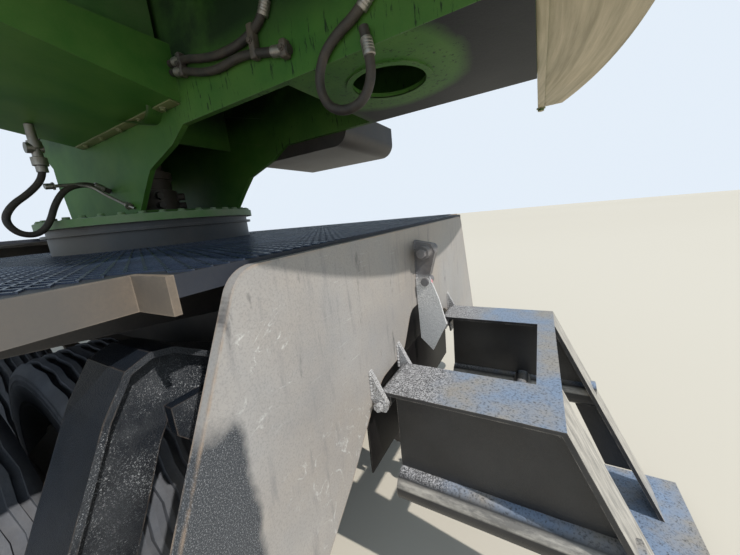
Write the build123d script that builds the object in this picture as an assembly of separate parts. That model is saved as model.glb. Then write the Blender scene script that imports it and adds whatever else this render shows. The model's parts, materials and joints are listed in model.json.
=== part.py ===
from build123d import *
import os
from math import atan2, cos, degrees, hypot, radians, sin, tan

# Knuckleboom log loader on a gooseneck trailer. Lengths in millimetres.
# Everything is drawn in the deck frame: origin on the slewing axis at the deck's top, X forward,
# Y left, Z up. The export moves it to the kingpin's locking neck.

# Overall lay-out
slew_back = 7000        # kingpin to slewing axis
deck_height = 1330      # deck top above the ground
coupler_height = 1220   # coupler plate's underside above the ground
neck_drop = 76.5        # coupler plate to the middle of the kingpin's lower flange
seat_gap = 0.3          # running gap between a moving piece and what carries it
pin_gap = 0.05          # radial clearance of a pin in its eye
side_gap = 5            # side clearance of a link in its fork

# Trailer frame
beam_y = 455            # centre of each main beam
beam_w = 190
beam_flange = 20
beam_web = 12
deck_thick = 35
beam_depth = 450
neck_depth = 230
plate_thick = 12
neck_front = 450        # beam length ahead of the kingpin
kingpin_r = 25.4
kingpin_flange_r = 35.7
kingpin_len = 84
wide_half = 1280        # deck half-width over the tyres
narrow_half = 930       # deck half-width at the rear
deck_rear_step = -1726
deck_front = 1900
edge_h = 60
edge_t = 12

# Rear end
end_x = -1862           # rear face of the end plate
end_t = 22
end_top = -8
end_half = 832          # half-width at the top
end_slope = 0.461       # outward slope of the outer edges
end_corner = 70
end_foot = -1050
arch_rear = -1700
arch_w = 150
arch_t = 12
arch_band = 130
arch_foot = -960
hinge_x = -1890         # rear arm's hinge pin
hinge_z = -505
hinge_r = 16
arm_top = -472
arm_t = 12
arm_out = 435
arm_in = 247
arm_end = -2363
arm_slope = 0.4976
rail_r = 55
rail_z = -835
rail_y = 378

# Running gear, 11R22.5 tyres in pairs
tyre_r = 525
tyre_w = 279
rim_r = 286
twin_in = 825           # centre of the inner tyre
twin_pitch = 335
axles_x = (-950, 320)
axle_r = 65
spindle_r = 40
spring_half = 500
spring_w = 75
leaf_t = 12
leaf_count = 3

# Front stabiliser legs
leg_x = 2200
leg_y = 1150
leg_tube = 160
leg_wall = 12
leg_inner = 135
leg_top = 60
leg_bottom = -860

# Pedestal and slewing frame
drum_r = 560
drum_h = 140
drum_wall = 25
ring_r = 600
ring_h = 40
ring_bore = 380
frame_out = 311.5       # outer face of each side plate
frame_t = 25
frame_floor = 507
frame_top = 1050
frame_rear = -2284
tail_r = 2560           # swing radius of the counterweight
tail_half = 900
tail_top = 1250
tail_floor = 540

# Cab
cab_x0, cab_x1 = -950, 250
cab_y0, cab_y1 = 335, 1230
cab_z0, cab_z1 = 800, 2420
cab_wall = 40
pan_rear = -1000
roof_t = 60
glass_t = 8
door_x0, door_x1 = -640, 120
door_z0, door_z1 = 840, 2300

# Boom
boom_x, boom_z = 150, 1750
boom_len = 4400
boom_half = 120
boom_rest = 30          # degrees above the horizontal
pin_r = 45
stick_len = 3300
stick_rest = -20        # degrees, measured from the main boom
fork_t = 25
heel = 420              # knuckle pin to the stick cylinder's eye
heel_lift = 20          # degrees above the stick's axis
lift_base = (600, 700)
lift_pin = (1900, -260)
lift_y = 230
stick_base = (1100, 330)
tip_half = 60
link_r = 30

# Grapple
tong_x = 190            # tong pivots from the rotator's axis
tong_drop = 566         # tong pivots below the stick's tip
horn = (110, 78)
tong_in = 70
tong_t = 20

ground = -deck_height
neck_z = coupler_height - deck_height     # coupler plate's underside
beam_top = -deck_thick
axle_z = ground + tyre_r


def block(x0, x1, y0, y1, z0, z1):
    return Pos((x0 + x1) / 2, (y0 + y1) / 2, (z0 + z1) / 2) * Box(x1 - x0, y1 - y0, z1 - z0)


def rod_x(y, z, r, x0, x1):
    return Pos((x0 + x1) / 2, y, z) * Rot(0, 90, 0) * Cylinder(r, x1 - x0)


def rod_y(x, z, r, y0, y1):
    return Pos(x, (y0 + y1) / 2, z) * Rot(90, 0, 0) * Cylinder(r, y1 - y0)


def rod_z(x, y, r, z0, z1):
    return Pos(x, y, (z0 + z1) / 2) * Cylinder(r, z1 - z0)


def side_plane(y):
    return Plane(origin=(0, y, 0), x_dir=(1, 0, 0), z_dir=(0, -1, 0))


def side_plate(face, y0, y1):
    """A face drawn in (x, z), as a plate from y0 to y1."""
    return extrude(side_plane(y1) * face, y1 - y0, dir=(0, -1, 0))


def cross_plate(face, x0, x1):
    """A face drawn in (y, z), as a plate from x0 to x1."""
    return extrude(Plane(origin=(x0, 0, 0), x_dir=(0, 1, 0), z_dir=(1, 0, 0)) * face, x1 - x0,
                   dir=(1, 0, 0))


def shape(*points):
    return Polygon(*points, align=None)


def both(solid):
    return solid + mirror(solid, about=Plane.XZ)


def turned(solid, x, z, angle):
    """A piece drawn along +X, turned up by angle and carried to (x, z)."""
    return Pos(x, 0, z) * Rot(0, -angle, 0) * solid


nodes = {}


# Main beams: I-section, deep over the axles and shallow in the gooseneck.
front_x = slew_back + neck_front
neck_top = neck_z + plate_thick + neck_depth
beam_upper = [(end_x + end_t, beam_top), (2600, beam_top), (3000, neck_top), (front_x, neck_top)]
beam_lower = [(end_x + end_t, beam_top - beam_depth), (2300, beam_top - beam_depth),
              (3600, neck_z + plate_thick), (front_x, neck_z + plate_thick)]
outline = shape(*beam_upper, *reversed(beam_lower))
inner_upper = [(x, z - beam_flange) for x, z in beam_upper]
inner_lower = [(x, z + beam_flange) for x, z in beam_lower]
pocket = shape(*inner_upper, *reversed(inner_lower))
beam = side_plate(outline, beam_y - beam_w / 2, beam_y + beam_w / 2)
for y0, y1 in ((beam_y - beam_w / 2, beam_y - beam_web / 2), (beam_y + beam_web / 2, beam_y + beam_w / 2)):
    beam -= side_plate(pocket, y0, y1)
nodes["main_beams"] = both(beam)

# Crossmembers between the webs: centre x, half-length, top and bottom
web_in = beam_y - beam_web / 2
members = [(-1700, 45, beam_top - 30, -300), (-900, 40, beam_top - 30, -250), (-520, 50, beam_top - 30, -350),
           (520, 50, beam_top - 30, -350), (1300, 40, beam_top - 30, -250), (2200, 60, beam_top - 30, -400),
           (3900, 40, neck_top - 40, neck_top - 202), (5200, 40, neck_top - 40, neck_top - 202), (6500, 40, neck_top - 40, neck_top - 202),
           (7350, 40, neck_top - 40, neck_top - 202)]
cross = None
for x, half, z1, z0 in members:
    tube = block(x - half, x + half, -web_in, web_in, z0, z1)
    tube -= block(x - half + 8, x + half - 8, -web_in, web_in, z0 + 8, z1 - 8)
    cross = tube if cross is None else cross + tube
seat = block(-600, 600, -beam_y + beam_w / 2, beam_y - beam_w / 2, beam_top - beam_flange, beam_top)
nodes["crossmembers"] = cross + seat

# Tapered brackets that carry the deck outside the beams
bracket_face = shape((beam_y + beam_web / 2, beam_top - beam_flange), (beam_y + beam_w / 2, beam_top - beam_flange),
                     (beam_y + beam_w / 2, beam_top), (wide_half - edge_t, beam_top),
                     (wide_half - edge_t, -75), (beam_y + beam_web / 2, -170))
brackets = None
for x in (-1600, -1250, -650, -50, 550, 1150, 1750):
    plate = both(cross_plate(bracket_face, x - 6, x + 6))
    brackets = plate if brackets is None else brackets + plate
nodes["deck_brackets"] = brackets

# Coupler plate with its turned-up front edge, and the kingpin
coupler_rear = slew_back - 600
lip = front_x + 4
coupler_face = shape((coupler_rear, neck_z), (lip, neck_z), (lip + 120, neck_z + 70), (lip + 120, neck_z + 70 + plate_thick),
                     (lip - 3, neck_z + plate_thick), (coupler_rear, neck_z + plate_thick))
nodes["coupler_plate"] = side_plate(coupler_face, -beam_y - beam_w / 2, beam_y + beam_w / 2)
pin = rod_z(slew_back, 0, kingpin_r, neck_z - kingpin_len, neck_z)
pin += rod_z(slew_back, 0, kingpin_flange_r, neck_z - kingpin_len, neck_z - kingpin_len + 15)
pin += rod_z(slew_back, 0, kingpin_flange_r, neck_z - 33, neck_z)
nodes["coupler_plate"] += pin

# Walkway on the gooseneck
walk = block(3050, front_x, -beam_y - beam_w / 2, beam_y + beam_w / 2, neck_top, neck_top + deck_thick)
nodes["neck_deck"] = fillet(walk.edges().filter_by(Axis.Z), 40)

# Deck over the axles, stepped in at the rear, round the pedestal's drum
deck = block(deck_rear_step, deck_front, -wide_half + edge_t, wide_half - edge_t, -deck_thick, 0)
deck += block(end_x + end_t, deck_rear_step, -narrow_half + edge_t, narrow_half - edge_t, -deck_thick, 0)
nodes["deck_grating"] = deck - rod_z(0, 0, drum_r, -deck_thick, 0)

# Deck edge: a flat bar round the sides and the rear step
rear_in = end_x + end_t
edge = block(deck_rear_step, deck_front, wide_half - edge_t, wide_half, -edge_h, 0)
edge += block(deck_rear_step - edge_t, deck_rear_step, narrow_half - edge_t, wide_half, -edge_h, 0)
edge += block(rear_in, deck_rear_step - edge_t, narrow_half - edge_t, narrow_half, -edge_h, 0)
edge = both(edge)
edge += block(deck_front, deck_front + edge_t, -wide_half, wide_half, -deck_thick, 0)
nodes["deck_edge"] = edge

# Pedestal drum on the seat plate
drum = rod_z(0, 0, drum_r, beam_top, drum_h) - rod_z(0, 0, drum_r - drum_wall, beam_top, drum_h - 18)
nodes["pedestal"] = drum - rod_z(0, 0, 300, drum_h - 18, drum_h)

# A-shaped end plate; half of the outline runs down the outer edge and back up the inner one
foot_y = end_half - end_slope * end_foot
half = [(end_half, end_top), (foot_y, end_foot), (1075, end_foot), (724, -752), (604, -662), (460, -526),
        (372, -467), (190, -457), (94, -326)]
left = [(-y, z) for y, z in reversed(half)]
plate = shape(*half, *left)
corners = [v for v in plate.vertices() if v.Z > end_top - 1 or v.Y > end_top - 1]
plate = fillet(corners, end_corner)
nodes["end_plate"] = cross_plate(plate, end_x, end_x + end_t)

# Arch frame in front of it: outer flange strip and a band of web
web_out = beam_y + beam_web / 2
arch_path = [(web_out, -330), (810, -190), (875, -150), (916, -143), (958, -159), (1003, -227),
             (1081, -390), (1081 + (-390 - arch_foot) * end_slope, arch_foot)]


def parallel(path, gap):
    """The path moved to its right by gap, with mitred corners."""
    out = []
    for i, (x, z) in enumerate(path):
        near = [path[max(i - 1, 0):max(i - 1, 0) + 2], path[min(i, len(path) - 2):min(i, len(path) - 2) + 2]]
        turns = [atan2(b[1] - a[1], b[0] - a[0]) for a, b in near]
        mean, bend = (turns[0] + turns[1]) / 2, (turns[1] - turns[0]) / 2
        out.append((x + gap / cos(bend) * sin(mean), z - gap / cos(bend) * cos(mean)))
    return out


strip = shape(*arch_path, *reversed(parallel(arch_path, arch_t)))
inner_band = [(web_out, -330 - arch_band), (830, -330), (900, -290), (925, -330), (971, -435),
              (arch_path[-1][0] - arch_band, arch_foot)]
band = shape(*parallel(arch_path, arch_t / 2), *reversed(inner_band))
arch = cross_plate(strip, arch_rear, arch_rear + arch_w)
arch += cross_plate(band, arch_rear + 30, arch_rear + 30 + arch_t)
gusset = shape((905, -265), (905, -325), (850, -395), (800, -400), (800, -265))
arch += cross_plate(gusset, arch_rear + 5, arch_rear + 30)
nodes["arch_frame"] = both(arch)

# Lugs on the end plate: the latch in the middle and the rear arm's hinge pins
lug = side_plate(shape((end_x, -60), (end_x - 70, -75), (end_x - 85, -110), (end_x - 60, -200), (end_x, -250)), -16, 16)
latch = side_plate(shape((end_x - 2, -215), (end_x - 60, -205), (end_x - 95, -300), (end_x - 120, -400),
                         (end_x - 60, -520), (end_x - 10, -470)), 17, 27)
latch += rod_y(end_x - 45, -225, 16, -34, 44)
latch += rod_y(end_x - 50, -105, 26, -60, 60)
lugs = lug + latch
for y0, y1 in ((arm_in - 22, arm_in - 4), (arm_out + 2, arm_out + 20)):
    ear = side_plate(shape((end_x, -400), (hinge_x - 24, hinge_z + 5), (hinge_x - 18, hinge_z - 22), (hinge_x + 10, hinge_z - 24),
                           (end_x, hinge_z + 12)), y0, y1)
    lugs += both(ear)
lugs += both(rod_y(hinge_x, hinge_z, hinge_r, arm_in - 22, arm_out + 20))
nodes["plate_lugs"] = lugs

# Bracket under the frame for the rear arm's cylinder
cyl_foot = (-1760, -960)
cyl_eye = (-2140, -840)
hang = side_plate(shape((-1830, -300), (-1700, -300), (-1700, -985), (-1730, -1000), (-1790, -1000), (-1820, -960)), 45, 60)
hang = both(hang) + rod_y(*cyl_foot, 20, -60, 60) + block(-1745, -1700, -45, 45, -560, -300)
nodes["crossmembers"] += hang

# Leaf springs, one pack over each axle end, with hangers
seat_top = axle_z + axle_r + 25
packs = None
for ax in axles_x:
    pack = block(ax - 60, ax + 60, beam_y - spring_w / 2, beam_y + spring_w / 2, axle_z + axle_r, seat_top)
    for i in range(leaf_count):
        h = spring_half - 130 * (leaf_count - 1 - i)
        rise = 60 * (h / spring_half) ** 2
        z = seat_top + leaf_t * i
        low = ThreePointArc((ax - h, z + rise), (ax, z), (ax + h, z + rise))
        top = ThreePointArc((ax - h, z + leaf_t + rise), (ax, z + leaf_t), (ax + h, z + leaf_t + rise))
        ends = [Line(low @ 0, top @ 0), Line(low @ 1, top @ 1)]
        pack += side_plate(make_face([low, top, *ends]), beam_y - spring_w / 2, beam_y + spring_w / 2)
    packs = pack if packs is None else packs + pack
spring_end = seat_top + leaf_t * leaf_count + 60
mid = sum(axles_x) / 2
hangers = ((axles_x[0] - spring_half, 55), (mid, (axles_x[1] - axles_x[0]) / 2 - spring_half + 60), (axles_x[1] + spring_half, 55))
for x, half_len in hangers:
    face = shape((x - half_len - 40, beam_top - beam_depth), (x + half_len + 40, beam_top - beam_depth),
                 (x + half_len, spring_end + seat_gap), (x - half_len, spring_end + seat_gap))
    packs += side_plate(face, beam_y - 50, beam_y + 50)
nodes["springs"] = both(packs)

# Axles with their spindles
axle_end = twin_in + 44.7
axles = None
for ax in axles_x:
    axle = rod_y(ax, axle_z, axle_r, -axle_end, axle_end)
    axle += rod_y(ax, axle_z, spindle_r, -1000, 1000)
    axles = axle if axles is None else axles + axle
nodes["axles"] = axles

# Twin wheels: tyre section and rim section as (y, r), turned about the axle
tyre_half = tyre_w / 2
tyre_section = [(-95, rim_r), (-tyre_half, 345), (-tyre_half, 440), (-112, tyre_r - 11), (0, tyre_r),
                (112, tyre_r - 11), (tyre_half, 440), (tyre_half, 345), (95, rim_r)]
disc_y = twin_in + twin_pitch / 2
rim_section = [(73, rim_r), (262, rim_r), (262, rim_r - 14), (93, rim_r - 14), (14, 215), (14, 100), (0, 100),
               (0, 221), (73, rim_r - 11)]
hub_in = twin_in + 45


def turned_ring(section, y, side, x):
    face = shape(*[(r, side * (y + dy)) for dy, r in section])
    ring = revolve(Plane.XY * face, Axis.Y)
    return Pos(x, 0, axle_z) * ring


for n, ax in enumerate(axles_x, 1):
    for name, side in (("left", 1), ("right", -1)):
        tyres = turned_ring(tyre_section, twin_in, side, ax) + turned_ring(tyre_section, twin_in + twin_pitch, side, ax)
        rims = turned_ring(rim_section, disc_y, side, ax)
        rims += turned_ring([(-dy, r) for dy, r in rim_section], disc_y, side, ax)
        ys = sorted((side * hub_in, side * (disc_y + 130)))
        rims += rod_y(ax, axle_z, 130, *ys)
        for k in range(5):
            a = radians(72 * k)
            ys = sorted((side * (disc_y - 20), side * (disc_y + 20)))
            rims -= rod_y(ax + 172 * cos(a), axle_z + 172 * sin(a), 27, *ys)
        ys = sorted((side * hub_in, side * 1001))
        rims -= rod_y(ax, axle_z, spindle_r + pin_gap, *ys)
        nodes[f"tyres_{n}_{name}"] = tyres
        nodes[f"rims_{n}_{name}"] = rims

# Front stabilisers: sleeves on a cross beam, and the legs in them
half_tube = leg_tube / 2
bore = leg_inner / 2 + seat_gap
beam_bottom = beam_top - beam_depth
sleeves = block(leg_x - 90, leg_x + 90, -leg_y + half_tube, leg_y - half_tube, beam_bottom - 170, beam_bottom)
sleeve = block(leg_x - half_tube, leg_x + half_tube, leg_y - half_tube, leg_y + half_tube, leg_bottom, leg_top)
sleeve -= block(leg_x - bore, leg_x + bore, leg_y - bore, leg_y + bore, leg_bottom, leg_top - 10)
nodes["leg_sleeves"] = sleeves + both(sleeve)
for name, side in (("left", 1), ("right", -1)):
    y = side * leg_y
    leg = block(leg_x - leg_inner / 2, leg_x + leg_inner / 2, y - leg_inner / 2, y + leg_inner / 2, ground + 40, -400)
    leg += block(leg_x - 110, leg_x + 110, y - 110, y + 110, ground + 25, ground + 40)
    leg += rod_z(leg_x, y, 190, ground, ground + 25)
    nodes[f"leg_{name}"] = leg


# Rear arm: flanged sides, cross bar, lower rails and sloped ends down to the foot
def slope_x(z):
    return arm_end - (arm_top - z) * arm_slope


arm_front = hinge_x - 5
arm_foot = ground + 40
strip_face = shape((arm_end, arm_top), (slope_x(arm_foot), arm_foot), (slope_x(arm_foot) + 16, arm_foot), (arm_end + 16, arm_top))
web_face = shape((arm_front - 12, arm_top - arm_t), (arm_end, arm_top - arm_t), (slope_x(-1180) + 12, -1180),
                 (slope_x(-1180) + 130, -1180), (slope_x(rail_z) + 110, rail_z), (arm_front - 12, rail_z))
side = block(arm_end, arm_front, arm_in, arm_out, arm_top - arm_t, arm_top)
side += side_plate(strip_face, arm_in, arm_out)
side += side_plate(web_face, arm_out - 69, arm_out - 57)
side += rod_x(rail_y, rail_z, rail_r, slope_x(rail_z) + 10, arm_front - 12)
side += rod_y(hinge_x, hinge_z, hinge_r + 10, arm_in, arm_out - 2)
side += block(hinge_x - 26, hinge_x - 5, arm_in, arm_out - 2, hinge_z, arm_top - arm_t)
side -= rod_y(hinge_x, hinge_z, hinge_r + pin_gap, arm_in - 5, arm_out + 5)
arm = both(side)
arm += block(arm_end, arm_end + 63, -arm_in, arm_in, arm_top - arm_t, arm_top)
arm += block(arm_end + 51, arm_end + 63, -arm_in, arm_in, arm_top - 110, arm_top - arm_t)
arm += rod_y(-2240, -800, 35, -(arm_out - 69), arm_out - 69)
eye_lug = side_plate(shape((-2262, -772), (-2225, -768), (-2120, -810), (-2105, -845), (-2130, -875), (-2262, -828)), 45, 60)
arm += both(eye_lug)
nodes["rear_arm"] = arm
foot_front = slope_x(arm_foot) + 60
foot = side_plate(shape((foot_front + 120, ground + 60), (foot_front + 90, ground), (foot_front - 120, ground),
                        (foot_front - 160, ground + 40), (foot_front + 70, ground + 40)), -arm_out - 60, arm_out + 60)
nodes["rear_arm"] += foot - side_plate(shape((foot_front + 200, ground + 40), (foot_front + 200, ground + 90),
                                             (foot_front - 200, ground + 90), (foot_front - 200, ground + 40)), -arm_out - 70, arm_out + 70)


def cylinder(base, eye, bore_r, rod_r, eye_r, half_eye, pin, barrel_len, travel_out):
    """Barrel and rod along the line from base to eye, drawn in (x, z) at y = 0."""
    dx, dz = eye[0] - base[0], eye[1] - base[1]
    length = hypot(dx, dz)
    angle = degrees(atan2(dz, dx))
    gland = 0.6 * bore_r
    start = barrel_len - gland - 5 - 0.7 * bore_r - travel_out
    tube_start = eye_r + 18
    barrel = rod_x(0, 0, bore_r + 10, tube_start, barrel_len) + rod_y(0, 0, eye_r, -half_eye, half_eye)
    barrel += rod_x(0, 0, half_eye * 0.8, eye_r * 0.7, tube_start + 5)
    barrel -= rod_x(0, 0, bore_r, tube_start + 6, barrel_len - gland)
    barrel -= rod_x(0, 0, rod_r + pin_gap, barrel_len - gland - 1, barrel_len + 1)
    barrel -= rod_y(0, 0, pin + pin_gap, -half_eye - 1, half_eye + 1)
    rod = rod_x(0, 0, rod_r, start, length - eye_r * 0.7)
    rod += rod_x(0, 0, bore_r - seat_gap, start, start + 0.7 * bore_r)
    rod += rod_y(length, 0, eye_r, -half_eye, half_eye)
    return turned(barrel, *base, angle), turned(rod, *base, angle)


nodes["arm_barrel"], nodes["arm_rod"] = cylinder(cyl_foot, cyl_eye, 30, 20, 30, 38, 20, 355, 222)

# Slewing ring and base of the superstructure
nodes["slew_ring"] = rod_z(0, 0, ring_r, drum_h + seat_gap, drum_h + ring_h) - rod_z(0, 0, ring_bore, drum_h, drum_h + ring_h)
ring_top = drum_h + ring_h
side_profile = [(-449, ring_top), (-556, 290), (-646, 374), (-871, 445), (-982, frame_floor), (frame_rear, frame_floor),
                (frame_rear, frame_top), (495, frame_top), (495, 420), (449, ring_top)]
frame_in = frame_out - frame_t
cheek = shape(*side_profile)
slot = Pos(-610, 665) * Rot(0, 0, 14) * SlotOverall(520, 150)
cheek -= slot
frame = both(side_plate(cheek, frame_in, frame_out))
frame += block(-449, 449, -frame_in, frame_in, ring_top, ring_top + 20)
floor = block(frame_rear, -1560, -frame_in, frame_in, frame_floor, frame_floor + 14)
frame += floor - rod_z(-1830, 65, 130, frame_floor, frame_floor + 14)
frame += block(frame_rear, 520, -frame_out, frame_out, frame_top, frame_top + 16)
frame += block(495, 520, -frame_out, frame_out, 420, frame_top)
frame += side_plate(shape((-500, 560), (-480, 560), (-480, frame_top), (-500, frame_top)), -frame_in, frame_in)
frame += block(-2150, -420, -1000, -frame_out, frame_top, frame_top + 16)
rib = shape((-frame_out, 800), (-frame_out, frame_top), (-990, frame_top), (-990, frame_top - 40))
for x in (-2100, -1300, -480):
    frame += cross_plate(rib, x - 8, x + 8)
lx, lz = lift_base
lift_lug = shape((520, 540), (lx + 20, lz - 65), (lx + 62, lz - 20), (lx + 62, lz + 20), (lx + 20, lz + 62), (520, lz + 62))
for y0, y1 in ((lift_y - 75, lift_y - 55), (lift_y + 55, lift_y + 75)):
    frame += both(side_plate(lift_lug, y0, y1))
frame += both(rod_y(lx, lz, 35, lift_y - 75, lift_y + 75))
nodes["slew_frame"] = frame

# Counterweight: flat to the frame, round to the tail's swing radius
plan = Circle(tail_r) & (Pos(frame_rear - 400, 0) * Rectangle(800, 2 * tail_half))
nodes["counterweight"] = Pos(0, 0, tail_floor) * extrude(plan, tail_top - tail_floor)

# Hydraulic tank on the left and fuel tray on the right
tank = block(-2150, -1180, frame_out, 1050, 900, 1500)
nodes["oil_tank"] = fillet(tank.edges().filter_by(Axis.X), 50) + rod_z(-1400, 700, 60, 1500, 1540)
tray = block(-1400, -600, -900, -frame_out, 440, 620)
tray = fillet(tray.edges().filter_by(Axis.Y).sort_by(Axis.Z)[:2], 85)
nodes["side_tray"] = tray

# Engine cover with louvres on the right side and the rear, and the engine
cx0, cx1, cy0, cy1, cz1 = -2150, -520, -990, 290, 1780
deck_z = frame_top + 16
cover = block(cx0, cx1, cy0, cy1, deck_z, cz1)
cover = fillet(cover.edges().filter_by(Axis.X).sort_by(Axis.Z)[-2:], 80)
cover -= block(cx0 + 15, cx1 - 15, cy0 + 15, cy1 - 15, deck_z, cz1 - 15)
for k in range(9):
    z = deck_z + 130 + 55 * k
    cover -= block(cx0 + 250, cx0 + 750, cy0 - 1, cy0 + 16, z, z + 28)
    cover -= block(cx0 - 1, cx0 + 16, cy0 + 250, cy1 - 250, z, z + 28)
nodes["engine_cover"] = cover
nodes["engine"] = block(-1750, -850, -750, -100, deck_z, 1620)
stack = rod_z(-760, -600, 55, cz1, 2150) - rod_z(-760, -600, 49, cz1 + 40, 2150)
nodes["exhaust"] = stack

# Cab floor pan: rises outwards from the frame
pan = shape((frame_out, 585), (cab_y1, 756), (cab_y1, cab_z0), (frame_out, cab_z0))
nodes["cab_floor"] = cross_plate(pan, pan_rear, 0) + block(0, cab_x1, frame_out, cab_y1, cab_z0 - 45, cab_z0)

# Cab shell with its windows and door opening: wall side, then the cut as two ranges
shell_top = cab_z1 - roof_t
shell = block(cab_x0, cab_x1, cab_y0, cab_y1, cab_z0, shell_top)
shell -= block(cab_x0 + cab_wall, cab_x1 - cab_wall, cab_y0 + cab_wall, cab_y1 - cab_wall, cab_z0, shell_top)
shell -= block(cab_x1 - cab_wall - 1, cab_x1 + 1, cab_y0 + 90, cab_y1 - 90, 1150, 2260)
shell -= block(cab_x0 - 1, cab_x0 + cab_wall + 1, cab_y0 + 120, cab_y1 - 120, 1500, 2220)
shell -= block(cab_x0 + 150, cab_x1 - 120, cab_y0 - 1, cab_y0 + cab_wall + 1, 1400, 2240)
shell -= block(door_x0, door_x1, cab_y1 - cab_wall - 1, cab_y1 + 1, door_z0, door_z1)
nodes["cab_shell"] = shell
roof = block(cab_x0 - 40, cab_x1 + 60, cab_y0, cab_y1 + 30, shell_top, cab_z1)
nodes["cab_roof"] = fillet(roof.edges().filter_by(Axis.Z), 60)
panes = block(cab_x1 - 24, cab_x1 - 24 + glass_t, cab_y0 + 90, cab_y1 - 90, 1150, 2260)
panes += block(cab_x0 + 16, cab_x0 + 16 + glass_t, cab_y0 + 120, cab_y1 - 120, 1500, 2220)
panes += block(cab_x0 + 150, cab_x1 - 120, cab_y0 + 16, cab_y0 + 16 + glass_t, 1400, 2240)
nodes["cab_glass"] = panes

# Door in its opening, hinged at the rear
dy0 = cab_y1 - cab_wall + 4
leaf = block(door_x0 + side_gap, door_x1 - side_gap, dy0, cab_y1, door_z0 + side_gap, door_z1 - side_gap)
leaf -= block(door_x0 + 90, door_x1 - 90, dy0 - 1, cab_y1 + 1, 1420, door_z1 - 90)
leaf += rod_z(door_x0 + 2, cab_y1 + 11 + seat_gap, 11, 1000, 1120) + rod_z(door_x0 + 2, cab_y1 + 11 + seat_gap, 11, 1950, 2070)
for z in (1000, 1950):
    leaf += block(door_x0 + 2, door_x0 + 60, cab_y1, cab_y1 + 10, z, z + 120)
nodes["cab_door"] = leaf
nodes["door_glass"] = block(door_x0 + 90, door_x1 - 90, dy0 + 12, dy0 + 12 + glass_t, 1420, door_z1 - 90)

# Seat
seat_mid = (cab_y0 + cab_y1) / 2
cushion = block(-600, -120, seat_mid - 240, seat_mid + 240, 1180, 1290)
rest = block(-700, -600, seat_mid - 230, seat_mid + 230, 1180, 1900)
nodes["seat"] = cushion + rest + block(-520, -240, seat_mid - 150, seat_mid + 150, cab_z0, 1180)

# Boom tower: two cheeks with the boom's foot pin
tower_in = boom_half + side_gap
tower_face = shape((-420, deck_z), (500, deck_z), (420, 1450), (240, 1830), (200, 1860), (90, 1860), (20, 1800), (-380, 1300))
tower = both(side_plate(tower_face, tower_in, tower_in + 35))
tower += block(-420, -385, -tower_in, tower_in, deck_z, 1290)
nodes["boom_tower"] = tower + rod_y(boom_x, boom_z, pin_r, -tower_in - 50, tower_in + 50)

# Main boom, drawn along X from its foot pin
boom_face = shape((-60, -95), (300, -150), (1500, -190), (2300, -170), (boom_len - 70, -100), (boom_len - 70, 100), (2300, 165),
                  (1100, 190), (300, 150), (-60, 95))
boom = side_plate(boom_face, -boom_half, boom_half)
boom += rod_y(0, 0, 105, -boom_half, boom_half) + rod_y(boom_len, 0, 105, -boom_half, boom_half)
ux, uz = lift_pin
boom += side_plate(shape((ux - 230, -150), (ux - 60, uz - 45), (ux + 60, uz - 45), (ux + 230, -150)), -110, 110)
boom += rod_y(ux, uz, 40, -lift_y + 55, lift_y - 55)
bx, bz = stick_base
for y0 in (66, -91):
    boom += side_plate(shape((bx - 200, 150), (bx - 60, bz + 20), (bx - 30, bz + 55), (bx + 30, bz + 55), (bx + 60, bz + 20), (bx + 200, 150)),
                       y0, y0 + 25)
boom += rod_y(bx, bz, link_r, -91, 91)
boom -= rod_y(0, 0, pin_r + pin_gap, -boom_half, boom_half)
boom -= rod_y(boom_len, 0, pin_r + pin_gap, -boom_half, boom_half)
nodes["main_boom"] = turned(boom, boom_x, boom_z, boom_rest)


def along(x, z, point, angle):
    """A point of a piece turned by angle about (x, z)."""
    c, s = cos(radians(angle)), sin(radians(angle))
    return x + point[0] * c - point[1] * s, z + point[0] * s + point[1] * c


# Lift cylinders, one each side of the boom
eye = along(boom_x, boom_z, lift_pin, boom_rest)
barrel, rod = cylinder(lift_base, eye, 65, 40, 62, 48, 35, 1250, 690)
nodes["lift_barrels"] = Pos(0, lift_y, 0) * barrel + Pos(0, -lift_y, 0) * barrel
nodes["lift_rods"] = Pos(0, lift_y, 0) * rod + Pos(0, -lift_y, 0) * rod

# Stick, drawn along X from the knuckle pin: fork and heel plates, box, tip
knuckle = along(boom_x, boom_z, (boom_len, 0), boom_rest)
stick_dir = boom_rest + stick_rest
fork_in = boom_half + side_gap
tip_x0 = stick_len - 350
heel_x, heel_z = -heel * cos(radians(heel_lift)), heel * sin(radians(heel_lift))
fork_face = shape((heel_x - 62, heel_z - 20), (heel_x - 50, heel_z + 45), (heel_x + 5, heel_z + 65), (0, 150), (700, 115),
                  (700, -115), (330, -125), (0, -130), (-110, -90), (heel_x - 15, heel_z - 62))
stick = both(side_plate(fork_face, fork_in, fork_in + fork_t))
stick += side_plate(shape((330, -70), (700, -110), (tip_x0, -75), (tip_x0 + 50, -60), (tip_x0 + 50, 60), (tip_x0, 75), (700, 115), (330, 85)),
                    -fork_in, fork_in)
stick += side_plate(shape((tip_x0, -60), (stick_len, -55), (stick_len, 55), (tip_x0, 60)), -tip_half, tip_half)
stick += rod_y(stick_len, 0, 62, -tip_half, tip_half)
stick += rod_y(0, 0, pin_r, -fork_in - fork_t - 12, fork_in + fork_t + 12)
stick += both(rod_y(heel_x, heel_z, 42, fork_in + fork_t, fork_in + fork_t + 16))
stick -= rod_y(stick_len, 0, link_r + pin_gap, -tip_half, tip_half)
nodes["stick"] = turned(stick, *knuckle, stick_dir)

# Stick cylinder on top of the boom
base = along(boom_x, boom_z, stick_base, boom_rest)
eye = along(*knuckle, (heel_x, heel_z), stick_dir)
nodes["stick_barrel"], nodes["stick_rod"] = cylinder(base, eye, 50, 32, 50, 48, link_r, 2050, 725)

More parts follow.
